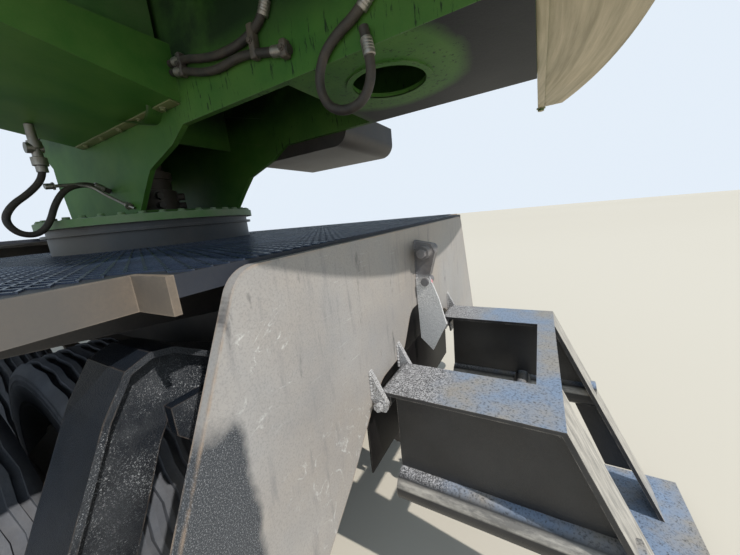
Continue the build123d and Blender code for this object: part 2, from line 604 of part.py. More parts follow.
# Hanger yoke under the stick's tip, with its pin
tip_x, tip_z = along(*knuckle, (stick_len, 0), stick_dir)
yoke_in = tip_half + side_gap
yoke = both(side_plate(shape((tip_x - 60, tip_z + 45), (tip_x + 60, tip_z + 45), (tip_x + 90, tip_z - 190), (tip_x - 90, tip_z - 190)),
                       yoke_in, yoke_in + 22))
yoke += block(tip_x - 100, tip_x + 100, -110, 110, tip_z - 216, tip_z - 190)
nodes["hanger"] = yoke + rod_y(tip_x, tip_z, link_r, -yoke_in - 34, yoke_in + 34)
nodes["rotator"] = rod_z(tip_x, 0, 115, tip_z - 330, tip_z - 216 - seat_gap)
nodes["rotator"] += rod_z(tip_x, 0, 140, tip_z - 356, tip_z - 330)

# Grapple head: top plate and two cheeks with the tongs' pivot pins
pivot_z = tip_z - tong_drop
cheek_in = tong_in + tong_t + side_gap
head = block(tip_x - 290, tip_x + 290, -cheek_in - 20, cheek_in + 20, tip_z - 376, tip_z - 356)
head_face = shape((tip_x - 290, tip_z - 376), (tip_x + 290, tip_z - 376), (tip_x + tong_x + 60, pivot_z - 50),
                  (tip_x - tong_x - 60, pivot_z - 50))
head += both(side_plate(head_face, cheek_in, cheek_in + 20))
for sx in (-tong_x, tong_x):
    head += rod_y(tip_x + sx, pivot_z, link_r, -cheek_in - 32, cheek_in + 32)
nodes["grapple_head"] = head

# Tongs: crescent plates with a horn for the cylinder, tied by cross tubes
outer = ThreePointArc((60, -20), (235, -330), (-185, -690))
inner = ThreePointArc((-185, -690), (118, -330), (-50, -20))
crescent = make_face([outer, inner, Line(inner @ 1, outer @ 0)])
hx, hz = horn
crescent += shape((-50, -20), (-20, 45), (hx - 20, hz + 36), (hx + 30, hz + 20), (hx + 30, hz - 30), (60, -25))


def tong(sign, tube):
    plates = both(side_plate(crescent, tong_in, tong_in + tong_t))
    plates += both(rod_y(0, 0, 52, 45, tong_in + tong_t))
    plates += rod_y(150, -300, 30, -tong_in, tong_in) + rod_y(40, -560, 24, -tong_in, tong_in)
    if tube:
        plates += both(rod_y(hx, hz, 22, 40, tong_in))
        plates += rod_y(hx, hz, 22, -40, 40)
    plates -= rod_y(0, 0, link_r + pin_gap, -tong_in - tong_t, tong_in + tong_t)
    if sign < 0:
        plates = mirror(plates, about=Plane.YZ)
    return Pos(tip_x + sign * tong_x, 0, pivot_z) * plates


nodes["tong_front"] = tong(1, True)
nodes["tong_rear"] = tong(-1, False)
horn_z = pivot_z + hz
nodes["grapple_barrel"], nodes["grapple_rod"] = cylinder((tip_x + tong_x + hx, horn_z), (tip_x - tong_x - hx, horn_z),
                                                         26, 18, 34, 36, 22, 380, 2)



# Hydraulic hoses, clipped against the frame's left side plate
hose_r = 14
hose_y = frame_out + hose_r + seat_gap


def hose(points, r):
    """A tube along straight runs joined by arcs as large as the runs allow."""
    radii = []
    for a, b, c in zip(points, points[1:], points[2:]):
        run1, run2 = Vector(*b) - Vector(*a), Vector(*c) - Vector(*b)
        half_turn = radians(run1.get_angle(run2) / 2)
        radii.append(round(0.45 * min(run1.length, run2.length) / tan(half_turn), 1))
    path = FilletPolyline(*points, radius=radii)
    start = Plane(origin=path @ 0, z_dir=path % 0)
    print("hose radii", radii)
    return sweep(start * Circle(r), path=path)


hose_routes = {
    "hose_upper": [(pan_rear - 3, 722), (-1100, 712), (-1190, 684), (-1290, 664), (-1390, 660),
                   (-1470, 672), (-1530, 705), (-1565, 765)],
    "hose_lower": [(pan_rear - 5, 690), (-1090, 672), (-1180, 640), (-1280, 622), (-1380, 628), (-1460, 618),
                   (-1540, 596), (-1620, 580)],
    "hose_tail": [(-1935, 640), (-1870, 588), (-1790, 560), (-1735, 520), (-1712, 455), (-1735, 390), (-1795, 360),
                  (-1860, 372), (-1893, 425), (-1890, 490), (-1880, 550)],
}
for name, route in hose_routes.items():
    nodes[name] = hose([(x, hose_y, z) for x, z in route], hose_r)
front_route = [(566, 630), (570, 540), (560, 460), (575, 380), (635, 310), (700, 255), (728, 190), (700, 138), (645, 140),
               (590, 200), (555, 275), (505, 335), (430, 362), (365, 350), (frame_out + 6, 325)]
nodes["hose_front"] = hose([(-200, y, z) for y, z in front_route], hose_r)

if __name__ == "__main__":
    os.makedirs("parts", exist_ok=True)
    to_kingpin = Pos(-slew_back, 0, -(neck_z - neck_drop))
    for name, solid in nodes.items():
        export_step(to_kingpin * solid, f"parts/{name}.step")
    print(len(nodes), "nodes")
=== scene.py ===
import json
from math import atan2, cos, hypot, pi, radians, sin

import bpy
from mathutils import Matrix, Vector

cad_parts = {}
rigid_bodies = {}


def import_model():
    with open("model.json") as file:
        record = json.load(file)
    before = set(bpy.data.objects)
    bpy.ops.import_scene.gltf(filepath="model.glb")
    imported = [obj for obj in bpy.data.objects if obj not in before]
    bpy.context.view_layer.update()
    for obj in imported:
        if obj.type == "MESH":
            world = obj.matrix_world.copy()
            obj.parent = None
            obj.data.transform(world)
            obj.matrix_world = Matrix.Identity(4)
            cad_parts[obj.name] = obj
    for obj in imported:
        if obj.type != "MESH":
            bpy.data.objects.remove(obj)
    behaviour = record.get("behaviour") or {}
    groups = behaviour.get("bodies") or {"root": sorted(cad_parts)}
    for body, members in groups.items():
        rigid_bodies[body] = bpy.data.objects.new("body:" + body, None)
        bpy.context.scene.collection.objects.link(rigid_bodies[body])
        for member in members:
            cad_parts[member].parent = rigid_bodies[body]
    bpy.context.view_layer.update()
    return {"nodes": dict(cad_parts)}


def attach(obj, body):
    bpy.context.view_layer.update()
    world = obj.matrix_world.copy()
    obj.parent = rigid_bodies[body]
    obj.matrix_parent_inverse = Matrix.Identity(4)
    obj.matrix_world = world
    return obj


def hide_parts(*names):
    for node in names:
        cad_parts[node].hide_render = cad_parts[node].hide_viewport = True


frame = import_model()
nodes = frame["nodes"]


# The place the photo was taken from: low beside the trailer's rear left corner, looking forward and
# to the right, over plain pale ground with a high sun behind the trailer and a soft sky.
def deck(x, y, z):
    """A point given in millimetres from the slewing axis at the deck's top, in metres from the kingpin."""
    return Vector(((x - 7000) / 1000, y / 1000, (z + 186.5) / 1000))


yaw, pitch, roll = -1.047172, -0.205109, -0.099098
photo_width, focal_pixels = 740, 299.23077
ahead = Vector((cos(pitch) * cos(yaw), cos(pitch) * sin(yaw), sin(pitch)))
level = Vector((sin(yaw), -cos(yaw), 0))
upright = level.cross(ahead)
right = cos(roll) * level + sin(roll) * upright
up = -sin(roll) * level + cos(roll) * upright
camera = bpy.data.objects.new("camera", bpy.data.cameras.new("camera"))
bpy.context.scene.collection.objects.link(camera)
camera.matrix_world = (Matrix.Translation(deck(-2299.238, 1149.362, 56.899))
                       @ Matrix((right, up, -ahead)).transposed().to_4x4())
camera.data.sensor_width = 36
camera.data.lens = focal_pixels * 36 / photo_width
camera.data.clip_start = 0.02
camera.data.clip_end = 200
bpy.context.scene.camera = camera
bpy.context.scene.view_settings.view_transform = "Standard"


def feed(socket, value):
    """Gives a node's socket its value, or joins another node's socket to it."""
    if isinstance(value, bpy.types.NodeSocket):
        socket.id_data.links.new(value, socket)
    else:
        socket.default_value = (*value, 1) if socket.type == "RGBA" else value


def add_node(tree, kind, fed=None, **settings):
    """A new node with its settings and its fed sockets; returns its outputs."""
    node = tree.nodes.new("ShaderNode" + kind)
    for setting, value in settings.items():
        setattr(node, setting, value)
    for socket, value in (fed or {}).items():
        feed(node.inputs[socket], value)
    return node.outputs


sky = bpy.data.worlds.new("sky")
bpy.context.scene.world = sky
sky.use_nodes = True
tree = sky.node_tree
tree.nodes.clear()
rays = add_node(tree, "LightPath")
clear = add_node(tree, "Math", {0: rays["Is Camera Ray"], 1: rays["Is Transmission Ray"]}, operation="MAXIMUM")
fill = add_node(tree, "Background", {"Color": (0.72, 0.86, 1), "Strength": 0.6})
seen = add_node(tree, "Background", {"Color": (0.78, 0.86, 0.95)})
blend = add_node(tree, "MixShader", {0: clear[0], 1: fill[0], 2: seen[0]})
add_node(tree, "OutputWorld", {0: blend[0]})

for name, toward, strength, width, colour in (
        ("sun", (1, -0.21, -1.033), 3.3, 0.8, (1, 0.96, 0.9)),
        ("open_side", (0.3, -0.85, -0.35), 0.45, 60, (0.82, 0.91, 1)),
        ("ground_bounce", (0.25, -0.15, 0.95), 0.12, 90, (1, 0.93, 0.82))):
    lamp = bpy.data.objects.new(name, bpy.data.lights.new(name, "SUN"))
    bpy.context.scene.collection.objects.link(lamp)
    lamp.rotation_euler = Vector(toward).to_track_quat("-Z", "Y").to_euler()
    lamp.data.energy = strength
    lamp.data.angle = radians(width)
    lamp.data.color = colour


def new_finish(name):
    """A new material and its node tree."""
    material = bpy.data.materials.new(name)
    material.use_nodes = True
    return material, material.node_tree


def surfaced(material, fed):
    """Feeds the sockets of a material's surface."""
    for socket, value in fed.items():
        feed(material.node_tree.nodes["Principled BSDF"].inputs[socket], value)


def tinted(mask, below, above):
    """Colour above laid over colour below where the mask is 1."""
    return add_node(mask.id_data, "Mix", {"Factor": mask, "A": below, "B": above}, data_type="RGBA")["Result"]


ground_level = -1330
bpy.ops.mesh.primitive_circle_add(vertices=64, radius=60, fill_type="NGON",
                                  location=deck(1000, 0, ground_level))
ground = bpy.context.object
ground.name = "ground"
pale, tree = new_finish("pale_ground")
noise = add_node(tree, "TexNoise", {"Scale": 2.5, "Detail": 8})["Fac"]
surfaced(pale, {"Base Color": tinted(noise, (0.6, 0.55, 0.46), (0.7, 0.66, 0.58)), "Roughness": 0.9,
                "Specular IOR Level": 0.1})
ground.data.materials.append(pale)


# Main beams, crossmembers and deck brackets: welded steel plate under black paint that has dulled,
# gathered dust on its upper faces and worn through along its edges.
def sum_up(operation, a, b=0.0):
    """A maths node; a and b are numbers or sockets."""
    tree = (a if isinstance(a, bpy.types.NodeSocket) else b).id_data
    return add_node(tree, "Math", {0: a, 1: b}, operation=operation)[0]


def product(first, *others):
    """Masks multiplied together."""
    for other in others:
        first = sum_up("MULTIPLY", first, other)
    return first


def spread(value, low, high, out_low=0.0, out_high=1.0):
    """The value's range from low to high, as 0 to 1, clamped."""
    return add_node(value.id_data, "MapRange", {"Value": value, "From Min": low, "From Max": high,
                                                "To Min": out_low, "To Max": out_high})["Result"]


def grain(tree, scale, detail=6.0, rough=0.6, stretch=None, place=None):
    """Noise over the piece's own coordinates or another place; scale is a number or a socket."""
    if place is None:
        place = add_node(tree, "TexCoord")["Object"]
    if stretch:
        place = add_node(tree, "Mapping", {"Vector": place, "Scale": stretch})["Vector"]
    fed = {"Vector": place, "Scale": scale, "Detail": detail, "Roughness": rough}
    return add_node(tree, "TexNoise", fed)["Fac"]


def patches(tree, scale, low, high, detail=6.0, rough=0.6, **where):
    """A grain's range from low to high, as ragged patches."""
    return spread(grain(tree, scale, detail, rough, **where), low, high)


def new_effect(name, sockets, result):
    """An empty node group with float inputs: its tree, its entry's outputs and the socket of its result."""
    group = bpy.data.node_groups.new(name, "ShaderNodeTree")
    for socket, value in sockets.items():
        made = group.interface.new_socket(socket, in_out="INPUT", socket_type="NodeSocketFloat")
        made.default_value = value
    group.interface.new_socket(result, in_out="OUTPUT", socket_type="NodeSocketFloat")
    return group, group.nodes.new("NodeGroupInput").outputs, group.nodes.new("NodeGroupOutput").inputs[result]


edge_wear, entry, leave = new_effect("edge_wear", {"Width": 0.004, "Amount": 0.5}, "Mask")
rounded = add_node(edge_wear, "Bevel", {"Radius": entry["Width"]}, samples=4)["Normal"]
flat = add_node(edge_wear, "NewGeometry")["Normal"]
facing = add_node(edge_wear, "VectorMath", {0: rounded, 1: flat}, operation="DOT_PRODUCT")["Value"]
turned = spread(sum_up("SUBTRACT", 1.0, facing), 0.01, 0.12)
feed(leave, product(turned, patches(edge_wear, 18, 0.38, 0.62, 8), entry["Amount"]))

dust_film, entry, leave = new_effect("dust_film", {"Scale": 3.0, "Amount": 0.5, "Upward": 0.5}, "Mask")
facing = add_node(dust_film, "SeparateXYZ", {0: add_node(dust_film, "NewGeometry")["Normal"]})
lying = product(sum_up("MAXIMUM", facing["Z"], 0.0), entry["Upward"])
cloud = product(patches(dust_film, entry["Scale"], 0.3, 0.72, 10, 0.65), entry["Amount"])
speck = spread(grain(dust_film, 160, 3), 0.3, 0.7, 0.55, 1.0)
feed(leave, sum_up("MINIMUM", product(sum_up("ADD", cloud, product(lying, cloud)), speck), 1.0))

stipple, entry, leave = new_effect("stipple", {"Scale": 90.0, "Coarse": 0.5}, "Height")
broad = product(grain(stipple, 9, 3), entry["Coarse"])
feed(leave, sum_up("ADD", grain(stipple, entry["Scale"], 4, 0.7), broad))


def effect(tree, group, **values):
    """A shared effect's mask or height."""
    return add_node(tree, "Group", values, node_tree=group)[0]


def raised(height, distance, strength=1.0):
    """A surface's small ups and downs, from a height mask."""
    fed = {"Height": height, "Distance": distance, "Strength": strength}
    return add_node(height.id_data, "Bump", fed)["Normal"]


road_dust = (0.30, 0.22, 0.145)


def weathered(name, colour, faded, dust=(0.4, 0.8), dust_colour=road_dust, dust_scale=3, wear=0.5,
              bare=(0.32, 0.29, 0.26), wear_width=0.004, rough=0.45, metal=0.0, bumps=(90, 0.5, 0.0006),
              coat=0.0, shine=0.5):
    """Paint or bare steel with faded clouds, dust, edge wear and a fine uneven surface.

    dust is its amount and what is added on upper faces; bumps are their scale, coarseness and height.
    """
    material, tree = new_finish(name)
    film = effect(tree, dust_film, Scale=dust_scale, Amount=dust[0], Upward=dust[1])
    look = tinted(film, tinted(patches(tree, 5, 0.32, 0.7, 9), colour, faded), dust_colour)
    if wear:
        look = tinted(effect(tree, edge_wear, Width=wear_width, Amount=wear), look, bare)
    height = effect(tree, stipple, Scale=bumps[0], Coarse=bumps[1])
    surfaced(material, {"Base Color": look, "Roughness": spread(film, 0.0, 0.8, rough, 0.85),
                        "Metallic": metal, "Coat Weight": coat, "Specular IOR Level": shine,
                        "Normal": raised(height, bumps[2], 0.6)})
    return material


def axes_of(material, kind="Object"):
    """The piece's own coordinates, or with Normal the way its surface faces, as three sockets."""
    tree = material.node_tree
    return add_node(tree, "SeparateXYZ", {0: add_node(tree, "TexCoord")[kind]})


def soiled(material, colour, *masks):
    """Lays one more colour over a finished material where all the masks are 1."""
    base = material.node_tree.nodes["Principled BSDF"].inputs["Base Color"]
    feed(base, tinted(product(*masks), base.links[0].from_socket, colour))


def dress(material, *names):
    """Gives CAD nodes whose shape is right their finish."""
    for name in names:
        nodes[name].data.materials.clear()
        nodes[name].data.materials.append(material)


frame_black = weathered("frame_black", (0.014, 0.015, 0.018), (0.035, 0.035, 0.037), dust=(0.2, 1.2), wear=0.45)
dress(frame_black, "main_beams", "crossmembers", "deck_brackets", "leg_sleeves")


# Coupler plate with the kingpin: thick plate rubbed bright and greased where the coupling turns under it.
coupler_steel = weathered("coupler_steel", (0.05, 0.046, 0.042), (0.16, 0.15, 0.14), dust=(0.15, 0.3), wear=0.7,
                          rough=0.35, metal=0.7)
dress(coupler_steel, "coupler_plate")


# Leaf springs and axles: spring steel in packs with clips and U-bolts, on plain tube axles, all caked
# with road dirt.
spring_steel = weathered("spring_steel", (0.022, 0.02, 0.019), (0.07, 0.055, 0.042), dust=(0.75, 0.8), wear=0.3,
                         rough=0.6)
dress(spring_steel, "springs", "axles")
axle_x = (-950, 320)
axle_z = -805
spring_y = 455
wheels = [(f"{n}_{name}", side, x) for n, x in enumerate(axle_x, 1)
          for name, side in (("left", 1), ("right", -1))]


def gather(pieces):
    """Joins pieces into one mesh, which is then the active and only selected object."""
    bpy.ops.object.select_all(action="DESELECT")
    for piece in pieces:
        piece.select_set(True)
    bpy.context.view_layer.objects.active = pieces[0]
    if len(pieces) > 1:
        bpy.ops.object.join()
    return bpy.context.object


def settle(name, material, pieces=(), body="superstructure", smooth=30):
    """Finishes pieces, or the active object, as one piece of the model on a body."""
    if pieces:
        gather(pieces)
    piece = bpy.context.object
    bpy.ops.object.transform_apply()
    piece.name = name
    piece.data.materials.clear()
    piece.data.materials.append(material)
    bpy.ops.object.shade_smooth_by_angle(angle=radians(smooth))
    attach(piece, body)
    return piece


def round_bar(name, points, radius, facets, steps):
    """A curve with a round section through points in deck millimetres."""
    line = bpy.data.curves.new(name, "CURVE")
    line.dimensions = "3D"
    line.bevel_depth = radius
    line.bevel_resolution = facets
    line.use_fill_caps = True
    run = line.splines.new("NURBS")
    run.points.add(len(points) - 1)
    for control, point in zip(run.points, points):
        control.co = (*deck(*point), 1)
    run.order_u = 3
    run.use_endpoint_u = True
    run.resolution_u = steps
    bar = bpy.data.objects.new(name, line)
    bpy.context.scene.collection.objects.link(bar)
    return bar


def bent_bar(points, radius):
    """A round bar bent through points in deck millimetres, as a mesh."""
    gather([round_bar("bar", points, radius, 3, 6)])
    bpy.ops.object.convert(target="MESH")
    return bpy.context.object


clips = []
for x in axle_x:
    for side in (-1, 1):
        for dx in (-78, 78):
            legs = [[(x + dx, side * (spring_y + dy), z) for z in (-875, -760, -672)] for dy in (-50, 50)]
            clips.append(bent_bar(legs[0] + legs[1][::-1], 0.009))
settle("spring_clips", spring_steel, clips, "trailer")


# Tyres: twin 11R22.5 tyres on each axle end. Worn rubber with five ribs between zigzag grooves, square
# shoulders and a ringed wall, grey with dried mud.
rubber, tree = new_finish("tyre_rubber")
worn_grey = tinted(patches(tree, 14, 0.3, 0.7, 8, 0.65), (0.062, 0.071, 0.089), (0.12, 0.13, 0.153))
mud = effect(tree, dust_film, Scale=6.0, Amount=0.42, Upward=0.2)
surfaced(rubber, {"Base Color": tinted(mud, worn_grey, (0.19, 0.175, 0.16)), "Roughness": 0.78,
                  "Normal": raised(effect(tree, stipple, Scale=140.0, Coarse=0.4), 0.0012)})

tread = [(0, 525)]
groove_depth = 15
for inner, outer, high in ((19, 30, 525), (55, 67, 523), (93, 99, 519)):
    tread += [(inner, high), (inner + 2, high - groove_depth), (outer - 2, high - groove_depth), (outer, high)]
tread += [(116, 514), (131, 497), (135.4, 484), (134.2, 481), (134.6, 476), (137.2, 474), (138.8, 462),
          (137.2, 460), (137.4, 455), (139.2, 453), (139.4, 430), (136.6, 389), (134.8, 387), (134, 380),
          (135.2, 378), (126, 345), (112, 312), (98, 291), (92, 286)]
section = [(-y, r) for y, r in reversed(tread[1:])] + tread
steps = 96


def edit(inside):
    """Goes into edit mode or out of it."""
    bpy.ops.object.mode_set(mode="EDIT" if inside else "OBJECT")


def lathe(profile, centre, axis="Y", steps=48):
    """Spins a profile of (along, radius) in millimetres about an axis through the centre, shut all round."""
    along = Vector([name == axis for name in "XYZ"])
    outward = Vector((0, 0, 1) if axis == "X" else (1, 0, 0))
    places = [(along * a + outward * r) / 1000 for a, r in profile]
    bpy.ops.mesh.primitive_plane_add(size=0.001, location=(0, 0, 0))
    edit(True)
    bpy.ops.mesh.select_mode(type="VERT")
    bpy.ops.mesh.merge(type="CENTER")
    bpy.ops.transform.translate(value=places[0])
    for here, there in zip(places, places[1:]):
        bpy.ops.mesh.extrude_region_move(TRANSFORM_OT_translate={"value": there - here})
    bpy.ops.mesh.select_all(action="SELECT")
    bpy.ops.mesh.spin(steps=steps, angle=2 * pi, center=(0, 0, 0), axis=along)
    bpy.ops.mesh.select_all(action="SELECT")
    bpy.ops.mesh.remove_doubles(threshold=0.00002)
    bpy.ops.mesh.normals_make_consistent(inside=False)
    edit(False)
    bpy.context.object.location = centre
    bpy.ops.object.transform_apply()
    return bpy.context.object


def tyre(y):
    """A tyre in its middle plane at y metres, with 9 mm of its rubber gone."""
    made = lathe(section + [section[0]], (0, 0, 0), "Y", steps)
    for vertex in made.data.vertices:
        place = vertex.co
        if hypot(place.x, place.z) > 0.503 and 0.015 < abs(place.y) < 0.105:
            place.y += (0, 0.0035, 0, -0.0035)[round(atan2(place.z, place.x) / (2 * pi) * steps) % 4]
    edit(True)
    bpy.ops.mesh.select_all(action="SELECT")
    bpy.ops.transform.shrink_fatten(value=-0.009)
    edit(False)
    made.data.transform(Matrix.Translation((0, y, 0)))
    return made


for wheel, side, x in wheels:
    pair = gather([tyre(side * 0.825), tyre(side * 1.16)])
    pair.data.transform(Matrix.Translation(deck(x, 0, axle_z)))
    settle("tread_" + wheel, rubber, body="wheel_" + wheel, smooth=40)
    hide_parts("tyres_" + wheel)


# Wheels: dished steel discs in dusty off-white paint, held by ten nuts, with an oil-filled hub cap.
wheel_white = weathered("wheel_white", (0.42, 0.41, 0.38), (0.55, 0.54, 0.5), dust=(0.8, 0.4), wear=0.4,
                        rough=0.5)
nut_steel = weathered("nut_steel", (0.16, 0.13, 0.11), (0.28, 0.25, 0.22), dust=(0.5, 0.5), wear=0.4, rough=0.5,
                      metal=0.6)
hub_cap = [(0, 0), (0, 84), (9, 84), (12, 80), (12, 66), (34, 60), (42, 50), (46, 30), (46, 0)]
nut_circle, disc_face, cap_face, cap_screws = 165, 1006.5, 1122.5, 1133


def bevelled(width, segments=2):
    """Rounds the active object's sharp edges for good."""
    bpy.ops.object.transform_apply()
    modifier = bpy.context.object.modifiers.new("edges", "BEVEL")
    modifier.width = width
    modifier.segments = segments
    modifier.angle_limit = radians(30)
    bpy.ops.object.modifier_apply(modifier=modifier.name)


def bolt(at, axis, size, height=None):
    """A hexagon head on its round washer; size is across the corners, in metres."""
    high = height or size * 0.32
    seat = (0, 0, 0.004 + high / 2)
    bpy.ops.mesh.primitive_cylinder_add(vertices=6, radius=size / 2, depth=high, location=seat)
    bevelled(size * 0.06, 1)
    head = bpy.context.object
    bpy.ops.mesh.primitive_cylinder_add(vertices=20, radius=size * 0.62, depth=0.006, location=(0, 0, 0.001))
    whole = gather([head, bpy.context.object])
    whole.rotation_euler = Vector(axis).to_track_quat("Z", "Y").to_euler()
    whole.location = at
    bpy.ops.object.transform_apply()
    return whole


def copies(source, places):
    """Copies of a finished piece, each with its own mesh, moved by each matrix; the source goes."""
    made = []
    for matrix in places:
        twin = source.copy()
        twin.data = source.data.copy()
        twin.data.transform(matrix)
        bpy.context.scene.collection.objects.link(twin)
        made.append(twin)
    bpy.data.objects.remove(source)
    return gather(made)


def ring_of(centre, axis, count, first=0.0):
    """Turns about an axis through the centre."""
    out, back = Matrix.Translation(centre), Matrix.Translation(-centre)
    return [out @ Matrix.Rotation(first + 2 * pi * i / count, 4, axis) @ back for i in range(count)]


for wheel, side, x in wheels:
    dress(wheel_white, "rims_" + wheel)
    hub = deck(x, 0, axle_z)
    nuts = []
    for first in (24, 48):
        across, high = nut_circle * cos(radians(first)), nut_circle * sin(radians(first))
        nut = bolt(deck(x + across, side * disc_face, axle_z + high), (0, side, 0), 0.036, 0.03)
        nuts.append(copies(nut, ring_of(hub, "Y", 5)))
    settle("wheel_nuts_" + wheel, nut_steel, nuts, "wheel_" + wheel)
    shell = lathe([(side * (cap_face + a), r) for a, r in hub_cap], hub, "Y", 32)
    screw = bolt(deck(x + 74, side * cap_screws, axle_z), (0, side, 0), 0.014)
    settle("hub_cap_" + wheel, nut_steel, [shell, copies(screw, ring_of(hub, "Y", 6))], "wheel_" + wheel)


# Deck and gooseneck walkway: plates under black expanded metal. The mesh is a sheet slit and pulled
# into diamonds, tacked down, with dried mud between its strands.
deck_black = weathered("deck_black", (0.006, 0.011, 0.022), (0.014, 0.021, 0.036), dust=(0.07, 0.3),
                       dust_scale=2, wear=0, rough=0.5)
strand_black = weathered("strand_black", (0.01, 0.02, 0.04), (0.032, 0.052, 0.092), dust=(0.07, 0.3),
                         dust_scale=2, wear=0, rough=0.25)
dusty_edge = weathered("dusty_edge", (0.06, 0.058, 0.055), (0.13, 0.1, 0.075), dust=(1.25, 0.5),
                       dust_colour=(0.3, 0.225, 0.155), dust_scale=2.2, wear=0.7, rough=0.65,
                       bare=(0.4, 0.32, 0.24))
soiled(dusty_edge, (0.085, 0.082, 0.08), spread(axes_of(dusty_edge)["Y"], 0.88, 1.02), 0.85)
dress(deck_black, "deck_grating", "neck_deck")
dress(dusty_edge, "deck_edge")
long_way, short_way = 0.072, 0.031


def pick(kind, wanted):
    """Turns to edit mode with just those faces or edges of the active object selected that wanted says."""
    edit(True)
    bpy.ops.mesh.select_mode(type=kind)
    bpy.ops.mesh.select_all(action="DESELECT")
    edit(False)
    shape = bpy.context.object.data
    for part in shape.polygons if kind == "FACE" else shape.edges:
        part.select = wanted(part)
    edit(True)


def expanded_metal(name, x0, x1, y0, y1, z, dropped):
    """A sheet of diamonds between two corners in deck millimetres; dropped(x, y) says where there is none."""
    strands = []
    for side in (1, -1):
        tip, flank = Vector((side * long_way / 2, 0, 0)), Vector((0, side * short_way / 2, 0))
        for a, b in ((tip, -flank), (flank, tip)):
            bpy.ops.mesh.primitive_plane_add(size=1, location=(0, 0, 0))
            strip = bpy.context.object
            strip.scale = ((a - b).length, 0.0052, 1)
            strip.rotation_euler.z = atan2(b.y - a.y, b.x - a.x)
            strip.location = (a + b) / 2
            bpy.ops.object.transform_apply()
            edit(True)
            bpy.ops.mesh.extrude_region_move(TRANSFORM_OT_translate={"value": (0, 0, 0.0034)})
            bpy.ops.mesh.normals_make_consistent(inside=False)
            edit(False)
            strands.append(strip)
    sheet = gather(strands)
    sheet.location = deck(x0, y0, z) + Vector((long_way / 2, short_way / 2, 0))
    bpy.ops.object.transform_apply()
    for reach, step in ((x1 - x0, (long_way, 0, 0)), (y1 - y0, (0, short_way, 0))):
        rows = sheet.modifiers.new("rows", "ARRAY")
        rows.use_relative_offset = False
        rows.use_constant_offset = True
        rows.constant_offset_displace = step
        rows.count = int(reach / 1000 / max(step))
        bpy.ops.object.modifier_apply(modifier=rows.name)
    pick("FACE", lambda face: dropped(face.center.x * 1000 + 7000, face.center.y * 1000))
    bpy.ops.mesh.select_linked()
    bpy.ops.mesh.delete(type="VERT")
    edit(False)
    settle(name, strand_black, body="trailer", smooth=20)


expanded_metal("deck_diamonds", -1838, 1898, -1266, 1266, -0.5,
               lambda x, y: (x < -1722 and abs(y) > 914) or hypot(x, y) < 566)
expanded_metal("walkway_diamonds", 3090, 7410, -520, 520, 166.5, lambda x, y: False)


# Weld beads where plates meet: short overlapping ripples laid by hand, under the paint.
def weld(start, stop, radius, ripple=0.011):
    """A rippled bead along a straight run between two points in deck millimetres."""
    a, b = deck(*start), deck(*stop)
    count = max(2, int((b - a).length / ripple))
    bpy.ops.mesh.primitive_cylinder_add(vertices=8, radius=radius, depth=ripple * 0.6, location=(0, 0, 0))
    one = bpy.context.object
    for vertex in one.data.vertices:
        if vertex.co.z < 0:
            vertex.co.xy *= 0.72
    facing = (b - a).to_track_quat("Z", "Y").to_matrix().to_4x4()
    return copies(one, [Matrix.Translation(a.lerp(b, (i + 0.5) / count)) @ facing for i in range(count)])


# End plate: A-shaped plate of 22 mm steel across the trailer's rear. Its grey coat is scuffed by work,
# scratched white, rubbed to brown steel round the rim and splashed black low on the left.
end_grey, tree = new_finish("end_grey")
_, across, height = axes_of(end_grey)
place = add_node(tree, "TexCoord")["Object"]
cloudy = patches(tree, 2.6, 0.3, 0.72, 10, 0.62)
coat = tinted(cloudy, (0.235, 0.242, 0.256), (0.37, 0.368, 0.368))
coat = tinted(spread(grain(tree, 1.1, 8), 0.32, 0.56, 0.1, 0.85), coat, (0.385, 0.335, 0.285))
streaks = patches(tree, 1, 0.56, 0.74, 5, stretch=(1, 34, 5))
coat = tinted(product(streaks, 0.55), coat, (0.16, 0.16, 0.17))

leaning = add_node(tree, "Mapping", {"Vector": place, "Rotation": (radians(-32), 0, 0), "Scale": (1, 6, 95)})
scrape = grain(tree, 1.7, 4, 0.5, place=leaning["Vector"])
scratches = product(spread(scrape, 0.64, 0.7, 0.0, 0.35), patches(tree, 3.1, 0.5, 0.62, 4, 0.5))
swirl = add_node(tree, "TexNoise", {"Vector": place, "Scale": 7.5, "Distortion": 1.8})["Fac"]
line = spread(sum_up("ABSOLUTE", sum_up("SUBTRACT", swirl, 0.5)), 0.0, 0.02, 1.0, 0.0)
marked = product(spread(across, 0.7, 0.76), spread(across, 0.92, 0.88), spread(height, -0.16, -0.08),
                 spread(height, 0.12, 0.06))
marked = sum_up("MAXIMUM", patches(tree, 2.2, 0.52, 0.6, 2, 0.5), marked)
chalk = product(line, patches(tree, 30, 0.5, 0.62, 6, 0.8), marked)
coat = tinted(sum_up("MAXIMUM", scratches, chalk), coat, (0.62, 0.62, 0.61))
coat = tinted(spread(grain(tree, 230, 3, 0.85), 0.36, 0.52, 0.4, 0.0), coat, (0.17, 0.17, 0.175))

